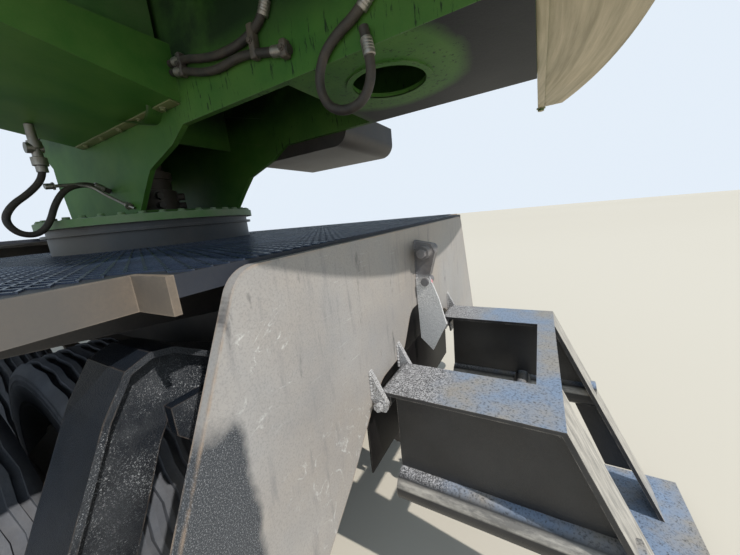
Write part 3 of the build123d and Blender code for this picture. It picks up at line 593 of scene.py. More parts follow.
ragged = product(sum_up("SUBTRACT", grain(tree, 7, 8, 0.7), 0.5), 0.5)
outward = sum_up("ADD", across, product(ragged, 0.12))
below = sum_up("ADD", product(height, -1.0), product(ragged, 0.5))
splash = product(spread(outward, 0.872, 0.89), spread(below, 0.03, 0.1))
coat = tinted(splash, coat, (0.035, 0.04, 0.048))
coat = tinted(product(splash, patches(tree, 420, 0.53, 0.64, 3, 0.85)), coat, (0.3, 0.31, 0.33))
drips = patches(tree, 1, 0.63, 0.7, 6, 0.7, stretch=(1, 9, 2.2))
coat = tinted(product(drips, 0.75), coat, (0.05, 0.05, 0.055))
coat = tinted(effect(tree, edge_wear, Width=0.011, Amount=1.0), coat, (0.34, 0.25, 0.18))
uneven = sum_up("ADD", effect(tree, stipple, Scale=45.0, Coarse=0.9), scratches)
surfaced(end_grey, {"Base Color": coat, "Roughness": spread(cloudy, 0.0, 1.0, 0.42, 0.62),
                    "Normal": raised(uneven, 0.001, 0.5)})
dress(end_grey, "end_plate")


# Arch frame, legs and lugs: black plate under thick rough underbody coat, with oily runs.
rough_black = weathered("rough_black", (0.002, 0.004, 0.008), (0.006, 0.011, 0.02), dust=(0.05, 0.8),
                        dust_colour=(0.16, 0.17, 0.19), dust_scale=9, wear=0.7, rough=0.3,
                        bumps=(300, 0.5, 0.007), bare=(0.2, 0.15, 0.11), wear_width=0.005, shine=0.22)
tree = rough_black.node_tree
# Rear faces are tinted a lighter blue-grey in patches. Painted glint specks: pale specks on the rear faces
# stand in for the sun sparkling on the rough coat, full low down and faint higher up.
rearward = spread(axes_of(rough_black, "Normal")["X"], -0.6, -0.9)
soiled(rough_black, (0.045, 0.05, 0.058), rearward, patches(tree, 6, 0.4, 0.6))
painted_glints = product(patches(tree, 380, 0.56, 0.64, 3, 0.85), patches(tree, 16, 0.42, 0.6, 5, 0.7),
                 spread(axes_of(rough_black)["Z"], 0.02, -0.05, 0.15, 1.0))
soiled(rough_black, (0.5, 0.52, 0.54), rearward, painted_glints)
dress(rough_black, "arch_frame", "leg_left", "leg_right")

lug_black = weathered("lug_black", (0.03, 0.03, 0.034), (0.26, 0.26, 0.28), dust=(0.3, 0.3), dust_scale=9,
                      wear=0.9, rough=0.4, bumps=(120, 0.8, 0.0018), bare=(0.4, 0.38, 0.37))
tree = lug_black.node_tree
_, y, z = axes_of(lug_black)
pale_latch = tinted(patches(tree, 190, 0.4, 0.6, 4, 0.8), (0.42, 0.42, 0.42), (0.78, 0.77, 0.76))
soiled(lug_black, pale_latch, spread(y, 0.01, 0.016), spread(y, 0.034, 0.028), spread(z, -0.01, -0.04), 0.95)
soiled(lug_black, (0.62,) * 3, patches(tree, 300, 0.44, 0.56, 3, 0.85), spread(z, -0.12, -0.16, 0.0, 0.85))
dress(lug_black, "plate_lugs")


def block(middle, size, rounding=0.0, segments=2, turn=(0, 0, 0)):
    """A box about a point in deck millimetres, its edges rounded by metres, turned by degrees."""
    bpy.ops.mesh.primitive_cube_add(size=1, location=(0, 0, 0))
    made = bpy.context.object
    made.scale = [s / 1000 for s in size]
    if rounding:
        bevelled(rounding, segments)
    made.rotation_euler = [radians(a) for a in turn]
    made.location = deck(*middle)
    bpy.ops.object.transform_apply()
    return made


web_black = weathered("web_black", (0.003, 0.003, 0.004), (0.008, 0.008, 0.009), dust=(0.02, 0.3), wear=0.2,
                      shine=0.08)
web = [block((-1835, 0, -396), (6, 708, 192), 0.0015), block((-1835, 0, -631), (6, 910, 282), 0.0015)]
settle("rear_web", web_black, web, "trailer")
beads = [weld((-1864, side * 16, -62), (-1864, side * 16, -250), 0.006) for side in (-1, 1)]
beads += [weld((-1864, side * y, -402), (-1864, side * y, -490), 0.005)
          for y in (233, 251, 437, 455) for side in (-1, 1)]
settle("lug_welds", lug_black, beads, "trailer")
red_paint = weathered("red_paint", (0.7, 0.28, 0.32), (0.55, 0.22, 0.25), dust=(0.3, 0.3), wear=0.3)
bpy.ops.mesh.primitive_uv_sphere_add(segments=20, ring_count=12, radius=0.011, location=deck(-1925, 19, -228))
bpy.context.object.scale = (0.7, 0.7, 1.0)
settle("latch_mark", red_paint, body="trailer")
pins = [bolt(deck(x, side * y, z), (0, side, 0), size, high) for side in (-1, 1)
        for x, y, z, size, high in ((-1912, 60, -105, 0.04, 0.02), (-1890, 455, -505, 0.03, 0.016))]
settle("lug_pin_heads", lug_black, pins, "trailer")


# Rear stabiliser arm: box frame of flanged plate on the end plate's pins. Its flange tops carry a painted
# reflection of the blue sky with tan patches, and the plate is rough with mud near the hinge.
arm_black = weathered("arm_black", (0.012, 0.013, 0.016), (0.028, 0.03, 0.034), dust=(0.16, 0.3),
                      dust_colour=(0.13, 0.105, 0.08), dust_scale=4.5, wear=0.8, rough=0.3,
                      bumps=(150, 0.6, 0.0012), bare=(0.42, 0.38, 0.34))
tree = arm_black.node_tree
lift = axes_of(arm_black, "Normal")["Z"]
# Painted reflection: the upward faces get the sky's blue with tan patches as colour; near the hinge, pale and
# dark grit takes its place.
painted_sheen_and_grit = tinted(patches(tree, 5, 0.4, 0.6), (0.23, 0.3, 0.42), (0.33, 0.31, 0.285))
grit = tinted(patches(tree, 240, 0.44, 0.58, 3, 0.85), (0.05, 0.05, 0.054), (0.62, 0.62, 0.64))
rearward = sum_up("ADD", axes_of(arm_black)["X"], product(grain(tree, 9), 0.12))
painted_sheen_and_grit = tinted(spread(rearward, -9.03, -8.96), painted_sheen_and_grit, grit)
soiled(arm_black, painted_sheen_and_grit, spread(lift, 0.75, 0.95), patches(tree, 150, 0.25, 0.5, 4))
drawn = patches(tree, 1, 0.4, 0.6, 6, 0.7, stretch=(9, 55, 9))
soiled(arm_black, tinted(drawn, (0.2, 0.19, 0.175), (0.5, 0.47, 0.42)),
       spread(lift, 0.2, 0.3), spread(lift, 0.75, 0.6), 0.9)
dress(arm_black, "rear_arm")
cylinder_black = weathered("cylinder_black", (0.03, 0.03, 0.032), (0.07, 0.065, 0.06), dust=(0.4, 0.5),
                           wear=0.6, rough=0.4)
dress(cylinder_black, "arm_barrel")
seams = [weld((x0, side * y0, -486), (x1, side * y1, -486), 0.005, 0.014) for side in (-1, 1)
         for x0, y0, x1, y1 in ((-1910, 372, -2340, 372), (-2351, 247, -2351, 435))]
settle("arm_welds", arm_black, seams, "rear_arm")


# Pedestal and slewing ring: a rolled drum welded to the frame, and a geared ring bolted down all round.
ring_black = weathered("ring_black", (0.02, 0.028, 0.036), (0.045, 0.055, 0.066), dust=(0.25, 0.8),
                       dust_scale=4, rough=0.38)
# Painted reflection: faces turned to the left (+y) are tinted tan, the brown ground reflected and painted into
# the colour.
soiled(ring_black, (0.17, 0.15, 0.125), spread(axes_of(ring_black, "Normal")["Y"], 0.72, 0.98), 0.8)
ring_green = weathered("ring_green", (0.11, 0.24, 0.07), (0.2, 0.31, 0.17), dust=(0.35, 0.6), dust_scale=5,
                       wear=0.9, bare=(0.3, 0.33, 0.34))
dress(ring_black, "pedestal")
dress(ring_green, "slew_ring")
copies(bolt(deck(572, 0, 180), (0, 0, 1), 0.034), ring_of(deck(0, 0, 180), "Z", 40, 0.05))
settle("ring_bolts", ring_green)
lathe([(98, 560), (98, 585), (112, 585), (112, 560)], deck(0, 0, 0), "Z", 72)
settle("drum_band", ring_black, body="trailer")


# Slewing frame: two tall side plates on a floor, cut with slots, in dark green that is sunny only on
# its outer face. The counterweight is a thick cast tail, its underside pale with road dust.
frame_green = weathered("frame_green", (0.03, 0.125, 0.016), (0.065, 0.18, 0.026), dust=(0.25, 0.7),
                        dust_colour=(0.13, 0.12, 0.06), dust_scale=2, wear=0.6, rough=0.5,
                        bare=(0.22, 0.22, 0.18), shine=0.28)
tree = frame_green.node_tree
x, y, z = axes_of(frame_green)
# Painted shade: downward faces behind x -8.5 m are painted near black, except a ragged patch about 0.34 m round
# the floor ring's hole.
downward = spread(axes_of(frame_green, "Normal")["Z"], -0.5, -0.9)
off_x, off_y = sum_up("ADD", x, 8.8), sum_up("ADD", y, -0.12)
from_hole = sum_up("SQRT", sum_up("ADD", product(off_x, off_x), product(off_y, off_y)))
ragged = sum_up("ADD", from_hole, product(grain(tree, 5, 4), 0.08))
soiled(frame_green, (0.005, 0.007, 0.009), downward, spread(x, -8.5, -8.6), spread(ragged, 0.31, 0.37))
marks = patches(tree, 1, 0.58, 0.64, 5, 0.7, stretch=(70, 70, 11))
soiled(frame_green, (0.004, 0.012, 0.006), marks, spread(z, 0.88, 0.8), spread(x, -7.8, -7.95), 0.85)
# The frame is darkened in patches from z 0.8 m, fully from 0.93 m up.
upper_dark_patches = patches(tree, 3.5, 0.25, 0.55)
soiled(frame_green, (0.006, 0.012, 0.008), upper_dark_patches, spread(z, 0.8, 0.93), 0.85)
dress(frame_green, "slew_frame")

tail_green = weathered("tail_green", (0.032, 0.12, 0.02), (0.07, 0.16, 0.04), dust=(0.4, 0.6),
                       dust_colour=(0.26, 0.22, 0.14), dust_scale=1.6, wear=0.8, bare=(0.3, 0.27, 0.22))
tree = tail_green.node_tree
x, y, _ = axes_of(tail_green)
off_x = sum_up("ADD", x, 7.0)
from_axis = sum_up("SQRT", sum_up("ADD", product(off_x, off_x), product(y, y)))
arcs = add_node(tree, "CombineXYZ", {"X": product(from_axis, 32.0), "Y": product(y, 1.6)})[0]
swept = tinted(patches(tree, 1, 0.36, 0.64, 7, 0.65, place=arcs), (0.3, 0.25, 0.15), (0.56, 0.47, 0.32))
soiled(tail_green, swept, spread(axes_of(tail_green, "Normal")["Z"], -0.5, -0.9), 0.95)
dress(tail_green, "counterweight")
tower_green = weathered("tower_green", (0.032, 0.125, 0.018), (0.06, 0.17, 0.03), dust=(0.3, 0.9),
                        dust_colour=(0.22, 0.19, 0.12), wear=0.6, rough=0.42, bare=(0.22, 0.22, 0.18))
dress(tower_green, "boom_tower", "oil_tank")

lathe([(0, 130), (0, 152), (-4, 152), (-4, 130)], deck(-1830, 65, 507), "Z", 48)
settle("floor_ring", frame_green)
seams = [weld((-449, side * 318, 184), (449, side * 318, 184), 0.006, 0.014) for side in (-1, 1)]
settle("frame_welds", frame_green, seams)
lip_green = weathered("lip_green", (0.12, 0.17, 0.05), (0.2, 0.22, 0.09), dust=(0.4, 0.3), wear=0.8,
                      bare=(0.35, 0.33, 0.24))
lip = [block((-500, 333, 586.3), (984, 40, 6), 0.0015, turn=(10.55, 0, 0))]
lip += [bolt(deck(x, 333, 582.5), (0, 0.18, -1), 0.022) for x in range(-900, 0, 200)]
settle("pan_lip", lip_green, lip)
flange = [block((-2299, 0, 534), (30, 1780, 12), 0.0015)]
flange += [bolt(deck(-2299, y, 529), (0, 0, -1), 0.034) for y in (-870, 870)]
settle("tail_flange", tail_green, flange)
# Blanks close the slots: the left one is rounded on all its edges and swells out, the right one is flat.
blanks = []
for y, swollen in ((305.5, True), (-296.5, False)):
    blanks.append(block((-610, y, 665), (519, 6, 149), turn=(0, -14, 0)))
    outer = [vertex.co.y > y / 1000 for vertex in blanks[-1].data.vertices]
    pick("EDGE", lambda edge: swollen or outer[edge.vertices[0]] != outer[edge.vertices[1]])
    bpy.ops.mesh.bevel(offset=0.074, segments=8, affect="EDGES")
    edit(False)
settle("slot_blanks", frame_green, blanks)
union = [(200, 0), (200, 168), (216, 168), (216, 140), (350, 140), (354, 118), (420, 118), (424, 130),
         (470, 130), (476, 90), (520, 84), (520, 0)]
ports = [bolt(deck(138 * cos(a), 138 * sin(a), z), (cos(a), sin(a), 0), 0.05, 0.04)
         for z in (250, 310) for a in (0.5, 1.7, 2.9, 4.1, 5.3)]
settle("rotary_union", cylinder_black, [lathe(union, deck(0, 0, 0), "Z", 40)] + ports)


# Hydraulic hoses: rubber over wire braid, 28 mm across, clipped to the frame's left side plate. Each
# ends in a crimped steel collar screwed to a port.
hose_rubber = weathered("hose_rubber", (0.012, 0.012, 0.013), (0.04, 0.036, 0.032), dust=(0.45, 0.5),
                        dust_colour=(0.16, 0.12, 0.085), dust_scale=14, wear=0, rough=0.55,
                        bumps=(260, 0.3, 0.0005))
zinc = weathered("zinc_steel", (0.3, 0.29, 0.27), (0.42, 0.4, 0.37), dust=(0.5, 0.3), dust_scale=20, wear=0.3,
                 wear_width=0.002, rough=0.35, metal=0.85)
plate_y, hose_across = 325.8, 0.028
routes = {
    "hose_upper": (0.609, [(x, plate_y, z) for x, z in (
        (-1003, 722), (-1100, 712), (-1190, 684), (-1290, 664), (-1390, 660), (-1470, 672), (-1530, 705),
        (-1565, 765))]),
    "hose_lower": (0.628, [(x, plate_y, z) for x, z in (
        (-1005, 690), (-1090, 672), (-1180, 640), (-1280, 622), (-1380, 628), (-1460, 618), (-1540, 596),
        (-1620, 580))]),
    "hose_tail": (0.678, [(x, plate_y, z) for x, z in (
        (-1935, 640), (-1870, 588), (-1790, 560), (-1735, 520), (-1712, 455), (-1735, 390), (-1795, 360),
        (-1860, 372), (-1893, 425), (-1890, 490), (-1880, 550))]),
    "hose_front": (1.08, [(-200, y, z) for y, z in (
        (566, 630), (570, 540), (560, 460), (575, 380), (635, 312), (704, 258), (742, 192), (712, 128),
        (650, 116), (597, 168), (558, 262), (505, 335), (430, 362), (365, 350), (317.5, 325))]),
}
crimps = [(-44, 0), (-44, 14.4), (-42, 16.5)]
for start in range(-38, 0, 8):
    crimps += [(start, 17.2), (start + 5, 17.2), (start + 6, 16.2), (start + 7, 16.2)]
crimps += [(2, 15), (2, 0)]


def collar(name, end, neighbour):
    """A crimped collar that swallows the hose's end, seen along the way to its neighbouring point."""
    inward = (neighbour - end).normalized()
    made = lathe(crimps, (0, 0, 0), "Z", 24)
    made.rotation_euler = (-inward).to_track_quat("Z", "Y").to_euler()
    made.location = end + inward * 0.03
    return settle(name, zinc)


for name, (length, points) in routes.items():
    piece = round_bar("rubber_" + name, points, hose_across / 2, 5, 10)
    piece.data.materials.append(hose_rubber)
    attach(piece, "superstructure")
    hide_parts(name)
    path = [deck(*point) for point in points]
    ends = [collar(name + "_first_end", path[0], path[1]), collar(name + "_second_end", path[-1], path[-2])]

clamps = []
for x, z0, z1 in ((-1075, 655, 738), (-1473, 594, 698), (-1600, 560, 612)):
    middle = (z0 + z1) / 2
    clamps.append(block((x, 326.5, middle), (26, 30, z1 - z0), 0.007, 3))
    clamps.append(bolt(deck(x, 341.5, middle), (0, 1, 0), 0.017))
settle("hose_clamps", cylinder_black, clamps)
tube = [(-200, 574, 342), (-200, 520, 351), (-205, 450, 358), (-225, 400, 345), (-260, 372, 305),
        (-330, 345, 262), (-405, 330, 222), (-425, 318, 214)]
nuts = [bolt(deck(*at), axis, 0.03, 0.03) for at, axis in (
    ((-205, 545, 347), (0, 1, -0.1)), ((-400, 331, 225), (1, -0.1, 0.5)))]
settle("drain_tube", zinc, [bent_bar(tube, 0.008)] + nuts)
swivel = lathe([(0, 0), (0, 22), (26, 22), (30, 30), (66, 30), (70, 20), (104, 20), (108, 27), (140, 27),
                (142, 18), (214, 18), (214, 0)], deck(-200, 566, 412), "Z", 24)
side_port = lathe([(0, 0), (0, 18), (30, 18), (34, 24), (62, 24), (62, 0)], deck(-200, 540, 520), "Y", 24)
settle("hose_swivel", zinc, [swivel, side_port])


# Tank, fuel tray and engine cover: folded sheet steel boxes with bolted lids, hinges and latches.
sheet_green = weathered("sheet_green", (0.03, 0.115, 0.024), (0.055, 0.165, 0.04), dust=(0.3, 0.9),
                        dust_colour=(0.24, 0.2, 0.14), wear=0.35, rough=0.34, coat=0.35,
                        bare=(0.14, 0.13, 0.11))
iron = weathered("engine_iron", (0.05, 0.05, 0.05), (0.12, 0.11, 0.1), dust=(0.6, 0.8), wear=0.3, rough=0.55,
                 metal=0.5)
burnt = weathered("burnt_steel", (0.10, 0.07, 0.055), (0.26, 0.2, 0.16), dust=(0.2, 0.2), wear=0.3, rough=0.5,
                  metal=0.8)
dress(sheet_green, "engine_cover")
dress(frame_black, "side_tray")
dress(iron, "engine")
dress(burnt, "exhaust")
fasteners = [bolt(deck(x, -990, z), (0, -1, 0), 0.024) for x in range(-2100, -500, 190) for z in (1110, 1650)]
settle("cover_bolts", nut_steel, fasteners)
panels = []
for x0, x1 in ((-1340, -960), (-920, -560)):
    panels.append(block(((x0 + x1) / 2, -994, 1380), (x1 - x0, 12, 460), 0.004))
    pick("FACE", lambda face: face.normal.y < -0.9 and face.area > 0.05)
    bpy.ops.mesh.inset(thickness=0.03)
    bpy.ops.mesh.inset(thickness=0.008, depth=-0.005)
    edit(False)
    hinge = [(-40, 0), (-40, 9), (40, 9), (40, 0)]
    panels += [lathe(hinge, deck(x0 - 4, -1003, z), "Z", 14) for z in (1210, 1550)]
settle("cover_doors", sheet_green, panels)


def bow(x, foot_y, grip_y, middle_y, bottom, top):
    """The points of an upright handle that bows outwards."""
    return [(x, foot_y, bottom), (x, grip_y, bottom + 2), (x, middle_y, (bottom + top) / 2),
            (x, grip_y, top - 2), (x, foot_y, top)]


handles = [bent_bar(bow(x, -1000, -1034, -1040, 1330, 1430), 0.007) for x in (-985, -585)]
settle("cover_handles", cylinder_black, handles)
cap = lathe([(0, 0), (0, 62), (10, 68), (34, 68), (40, 60), (40, 0)], deck(-1400, 700, 1540), "Z", 32)
gauge = lathe([(0, 0), (0, 26), (10, 26), (12, 20), (12, 0)], deck(-1250, 1050, 1200), "Y", 24)
studs = [bolt(deck(-1400 + 90 * cos(a), 700 + 90 * sin(a), 1500), (0, 0, 1), 0.02)
         for a in (0.4, 1.97, 3.54, 5.1)]
settle("tank_cap", cylinder_black, [cap, gauge] + studs)
over = [(313, 1506), (700, 1506), (1040, 1506), (1056, 1492), (1056, 1200), (1056, 908), (1040, 894),
        (700, 894), (313, 894)]
settle("tank_straps", cylinder_black, [bent_bar([(x, y, z) for y, z in over], 0.006) for x in (-2000, -1330)])
flap = lathe([(0, 0), (0, 64), (4, 64), (6, 0)], deck(-760, -600, 2151), "Z", 28)
guard = lathe([(-340, 62), (-340, 66), (-60, 66), (-60, 62)], deck(-760, -600, 2150), "Z", 32)
settle("exhaust_guard", burnt, [flap, guard])


# Cab: welded shell on a floor pan that rises outwards, glazed all round with rubber-bedded panes, a
# padded seat on a pedestal, two lever consoles, a mirror, rails and work lamps under the roof's edge.
pan_green = weathered("pan_green", (0.03, 0.14, 0.016), (0.075, 0.21, 0.03), dust=(0.2, 0.3),
                      dust_colour=(0.2, 0.17, 0.1), dust_scale=2.5, rough=0.42, bare=(0.12, 0.11, 0.1))
dress(pan_green, "cab_floor")
dress(sheet_green, "cab_shell", "cab_roof", "cab_door")
pane, tree = new_finish("pane")
smear = spread(grain(tree, 6, 8, 0.7), 0.4, 0.75, 0.02, 0.16)
surfaced(pane, {"Base Color": tinted(smear, (0.72, 0.8, 0.78), (0.5, 0.5, 0.45)), "Roughness": smear,
                "Transmission Weight": 0.85, "IOR": 1.1})
dress(pane, "cab_glass", "door_glass")
seal_rubber = weathered("seal_rubber", (0.012,) * 3, (0.03,) * 3, dust=(0.3, 0.4), wear=0, rough=0.6)


def seal(place_of, a0, a1, z0, z1):
    """A rubber bead with rounded corners round a window; place_of(a, z) is a point of its plane."""
    corners = [Vector(place_of(a, z)) for a, z in ((a0, z0), (a1, z0), (a1, z1), (a0, z1))]
    path = []
    for before, here, after in zip(corners[-1:] + corners, corners, corners[1:] + corners):
        path += [here + (before - here).normalized() * 60, here, here + (after - here).normalized() * 60]
    return bent_bar(path + path[:1], 0.009)


seals = [seal(lambda y, z: (250, y, z), 425, 1140, 1150, 2260),
         seal(lambda y, z: (-950, y, z), 455, 1110, 1500, 2220),
         seal(lambda x, z: (x, 335, z), -800, 130, 1400, 2240)]
settle("window_seals", seal_rubber, seals)
seal(lambda x, z: (x, 1230, z), -550, 30, 1420, 2210)
settle("door_seal", seal_rubber, body="door")
grip = bent_bar(bow(60, 1226, 1262, 1268, 1250, 1410), 0.009)
settle("door_handle", cylinder_black, [grip, bolt(deck(60, 1230, 1200), (0, 1, 0), 0.035, 0.012)], "door")
rail_z = (1150, 1155, 1500, 1945, 1950)
rails = [bent_bar([(190, y, z) for y, z in zip((1226, 1275, 1282, 1275, 1226), rail_z)], 0.012),
         bent_bar([(x, 1180, z) for x, z in zip((-950, -985, -990, -985, -950), rail_z)], 0.012)]
settle("grab_rails", cylinder_black, rails)
stalk = bent_bar([(240, 1200, 1900), (330, 1250, 1905), (360, 1270, 1880), (360, 1270, 1700)], 0.008)
settle("mirror", cylinder_black, [stalk, block((366, 1250, 1720), (30, 170, 300), 0.012, 3)])
lamp_glass = weathered("lamp_glass", (0.6, 0.62, 0.64), (0.8, 0.8, 0.8), dust=(0.2, 0.2), wear=0, rough=0.12,
                       bumps=(60, 0.2, 0.002), coat=0.8)
bowl = [(0, 0), (0, 30), (30, 52), (62, 58), (66, 58), (66, 52), (58, 50), (58, 0)]
lens = [(58, 0), (59, 0.1), (63, 26), (60, 49), (58, 49)]
lamp_places = [deck(262, y, 2300) for y in (430, 620, 945, 1135)]
settle("work_lamps", cylinder_black, [lathe(bowl, place, "X", 24) for place in lamp_places])
settle("work_lamp_lenses", lamp_glass, [lathe(lens, place, "X", 24) for place in lamp_places])

cloth, tree = new_finish("seat_cloth")
place = add_node(tree, "TexCoord")["Object"]
weave = add_node(tree, "TexWave", {"Scale": 130, "Distortion": 1.5, "Vector": place})
threads = spread(weave["Fac"], 0.0, 1.0, 0.3, 1.0)
rubbed = product(threads, spread(grain(tree, 9), 0.3, 0.7, 0.4, 1.0))
surfaced(cloth, {"Base Color": tinted(rubbed, (0.02, 0.02, 0.024), (0.06, 0.06, 0.068)), "Roughness": 0.85,
                 "Sheen Weight": 0.3, "Normal": raised(threads, 0.0008)})


def divided(shape, cuts):
    """Cuts all faces of the active object into a grid."""
    edit(True)
    bpy.ops.mesh.select_all(action="SELECT")
    bpy.ops.mesh.subdivide(number_cuts=cuts)
    edit(False)
    return shape


def pad(name, low, high, flat_side, crown, channels):
    """A crowned cushion with pulled-in sides and sewn channels; flat_side names the face it rests on."""
    size = [(b - a) / 1000 for a, b in zip(low, high)]
    bpy.ops.mesh.primitive_cube_add(size=1, location=(0, 0, 0))
    bpy.context.object.scale = size
    bpy.ops.object.transform_apply()
    shape = divided(bpy.context.object, 11)
    axis = "xyz".index(flat_side[1])
    sign = 1 if flat_side[0] == "-" else -1
    others = [i for i in range(3) if i != axis]
    for vertex in shape.data.vertices:
        u, v = (2 * vertex.co[i] / size[i] for i in others)
        w = vertex.co[axis] * sign / size[axis] + 0.5
        for i, t in zip(others, (v, u)):
            vertex.co[i] *= 1 - 0.05 * (1 - t * t) * 4 * w * (1 - w) - 0.06 * w * w
        swell = crown * ((1 - u ** 4) * (1 - v ** 4)) - crown
        long = v if size[others[1]] >= size[others[0]] else u
        groove = sum(0.009 * 2.718 ** (-((long - c) / 0.045) ** 2) for c in channels)
        vertex.co[axis] += sign * w * (swell - groove)
    smoother = shape.modifiers.new("soft", "SUBSURF")
    smoother.levels = smoother.render_levels = 2
    bpy.ops.object.modifier_apply(modifier=smoother.name)
    shape.location = deck(*[(a + b) / 2 for a, b in zip(low, high)])
    piece = settle(name, cloth, smooth=60)
    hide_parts("seat")


pad("seat_cushion", (-600, 545, 1196), (-120, 1020, 1290), "-z", 0.03, (-0.35, 0.0, 0.35))
pad("seat_back", (-692, 555, 1300), (-600, 1010, 1898), "-x", 0.03, (-0.55, -0.1, 0.35))
seat_x, seat_y, bellows_z, bellows_height, folds = -380, 782.5, 1000, 392, 3
bellows = divided(block((seat_x, seat_y, bellows_z), (280, 300, bellows_height)), 6)
foot = deck(seat_x, seat_y, bellows_z - bellows_height / 2)
for vertex in bellows.data.vertices:
    share = (vertex.co.z - foot.z) * 1000 / bellows_height
    width = 0.9 + 0.2 * abs((share * folds) % 1 - 0.5)
    vertex.co.xy = foot.xy + (vertex.co.xy - foot.xy) * width
bevelled(0.006)
settle("seat_bellows", seal_rubber)
arms, levers = [], []
knob = [(0, 0), (0, 14), (12, 19), (50, 22), (84, 19), (96, 8), (97, 0)]
for y, post_y, foot_y in ((500, 530, 680), (1065, 1035, 885)):
    post = [(-420, y, 1345), (-430, y, 1280), (-440, post_y, 1200), (-440, foot_y, 1190)]
    arms += [block((-300, y, 1370), (360, 75, 60), 0.018, 4), bent_bar(post, 0.014)]
    levers += [bent_bar([(-170, y, 1395), (-168, y, 1440), (-160, y, 1480)], 0.007),
               lathe(knob, deck(-160, y, 1475), "Z", 18)]
settle("arm_consoles", seal_rubber, arms)
settle("control_levers", cylinder_black, levers)
settle("pan_bolts", nut_steel, [bolt(deck(x, 1222, 785), (0, 1, 0), 0.026, 0.01) for x in (-500, -300)])


# Main boom, stick and their cylinders: welded box sections with cast ends. Steel oil lines run along
# the boom's top, and bright chromed rods slide out of black barrels through ringed glands.
boom_green = weathered("boom_green", (0.03, 0.12, 0.024), (0.055, 0.165, 0.038), dust=(0.3, 0.8),
                       dust_colour=(0.22, 0.19, 0.13), dust_scale=1.4, wear=0.7, rough=0.36, coat=0.25,
                       bare=(0.2, 0.18, 0.16))
dress(boom_green, "main_boom", "stick")
dress(cylinder_black, "lift_barrels", "stick_barrel", "grapple_barrel")
chrome, tree = new_finish("chrome")
wiped = patches(tree, 40, 0.4, 0.8, 6, 0.7)
surfaced(chrome, {"Base Color": tinted(wiped, (0.75, 0.75, 0.77), (0.5, 0.48, 0.45)), "Metallic": 1.0,
                  "Roughness": spread(wiped, 0.0, 1.0, 0.1, 0.3)})
dress(chrome, "lift_rods", "stick_rod", "arm_rod", "grapple_rod")


def on_arm(foot, angle, along, y, high):
    """A point given along and above an arm that starts at foot (x, z) and rises by angle, in millimetres."""
    c, s = cos(radians(angle)), sin(radians(angle))
    return foot[0] + along * c - high * s, y, foot[1] + along * s + high * c


def boom_at(along, y, high):
    return on_arm((150, 1750), 30, along, y, high)


def stick_at(along, y, high):
    return on_arm((3960.51, 3950), 10, along, y, high)


line_run = ((380, 157), (430, 186), (1100, 212), (1600, 202), (2300, 184), (3300, 147), (3950, 122), (4000, 96))
lines = [bent_bar([boom_at(a, y, h) for a, h in line_run], 0.009) for y in (-105, -30, 30, 105)]
settle("boom_lines", zinc, lines, "boom")
saddles = [block(boom_at(along, 0, high), (50, 235, 34), 0.006, turn=(0, -30, 0))
           for along, high in ((600, 189), (1500, 203), (2300, 184), (2800, 161), (3800, 126))]
settle("boom_line_saddles", cylinder_black, saddles, "boom")
line_run = ((760, 112), (820, 128), (1500, 113), (2300, 99), (2900, 86), (2950, 70))
lines = [bent_bar([stick_at(a, y, h) for a, h in line_run], 0.009) for y in (-60, -20, 20, 60)]
settle("stick_lines", zinc, lines, "stick")
for at, reach, y, size, body in ((boom_at, 0, 175, 0.11, "superstructure"), (stick_at, 0, 162, 0.1, "stick"),
                                 (stick_at, 3300, 99, 0.07, "hanger")):
    caps = [bolt(deck(*at(reach, side * y, 0)), (0, side, 0), size, 0.022) for side in (-1, 1)]
    settle(body + "_pin_caps", nut_steel, caps, body)

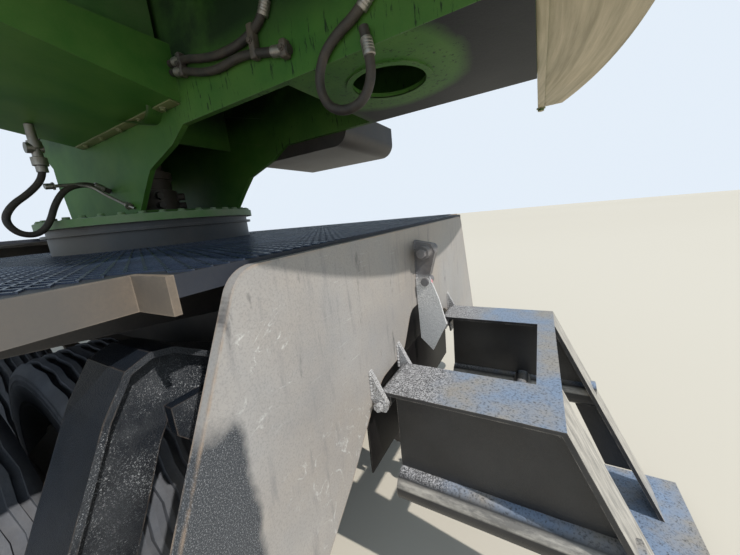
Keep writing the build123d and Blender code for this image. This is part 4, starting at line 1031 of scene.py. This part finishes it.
wide_gland = [(-60, 0.5), (-60, 9), (-26, 9), (-22, 4), (-4, 4), (-4, 0.5)]
slim_gland = [(-30, 0.5), (-30, 4), (-6, 4), (-6, 0.5)]
for body, ys, base, end, reach, radius, gland, port_size, port_height, port_turn in (
        ("lift_barrels", (-230, 230), (600, 700), (1925.45, 2474.83), 1250, 75, wide_gland, 0.038, 0.03, pi),
        ("stick_barrel", (0,), (937.63, 2585.79), (3558.3, 4029.1), 2050, 60, wide_gland, 0.038, 0.03, 0),
        ("arm_barrel", (0,), (-1760, -960), (-2140, -840), 355, 40, slim_gland, 0.02, 0.012, 0)):
    slope = atan2(end[1] - base[1], end[0] - base[0])
    fittings = []
    for y in ys:
        lie = Matrix.Translation(deck(base[0], y, base[1])) @ Matrix.Rotation(-slope, 4, "Y")
        ring = lathe([(reach + a, radius + r) for a, r in gland], (0, 0, 0), "X", 32)
        ring.data.transform(lie)
        fittings.append(ring)
        for along in (120, reach - 110):
            port = bolt(Vector((0, 0, 0)), (0, 0, 1), port_size, port_height)
            seat = Matrix.Translation((along / 1000, 0, (radius - 1) / 1000))
            port.data.transform(lie @ Matrix.Rotation(port_turn, 4, "X") @ seat)
            fittings.append(port)
    settle(body + "_gland", cylinder_black, fittings, body)
seams = []
for side in (-1, 1):
    for sign, stations in ((1, ((320, 152), (1100, 192), (2300, 167), (4280, 102))),
                           (-1, ((320, 152), (1500, 192), (2300, 172), (4280, 102)))):
        for (a0, h0), (a1, h1) in zip(stations, stations[1:]):
            run = ((a0, h0), ((a0 + a1) / 2, (h0 + h1) / 2), (a1, h1))
            seams.append(bent_bar([boom_at(a, side * 112, sign * h) for a, h in run], 0.005))
settle("boom_seams", boom_green, seams, "boom")


# Grapple: swinging hanger, rotator motor and two crescent tongs of worn plate, polished bare along
# the edges that bite the load.
tong_steel = weathered("tong_steel", (0.035, 0.033, 0.032), (0.1, 0.085, 0.07), dust=(0.35, 0.5), dust_scale=6,
                       wear=1.0, wear_width=0.012, rough=0.42, metal=0.3, bare=(0.42, 0.38, 0.33))
dress(tong_steel, "hanger", "grapple_head", "tong_front", "tong_rear")
dress(cylinder_black, "rotator")
tip = deck(*stick_at(3300, 0, 0))
flange_bolts = copies(bolt(tip + Vector((0.127, 0, -0.33)), (0, 0, 1), 0.02), ring_of(tip, "Z", 10))
ports = [bolt(tip + Vector((0.113 * cos(a), 0.113 * sin(a), -0.28)), (cos(a), sin(a), 0), 0.034, 0.03)
         for a in (0.6, 2.5)]
settle("rotator_bolts", zinc, [flange_bolts] + ports, "grapple")
pivots = [bolt(tip + Vector((along * 0.19, side * 0.127, -0.566)), (0, side, 0), 0.075, 0.018)
          for along in (-1, 1) for side in (-1, 1)]
settle("tong_pin_heads", nut_steel, pivots, "grapple")
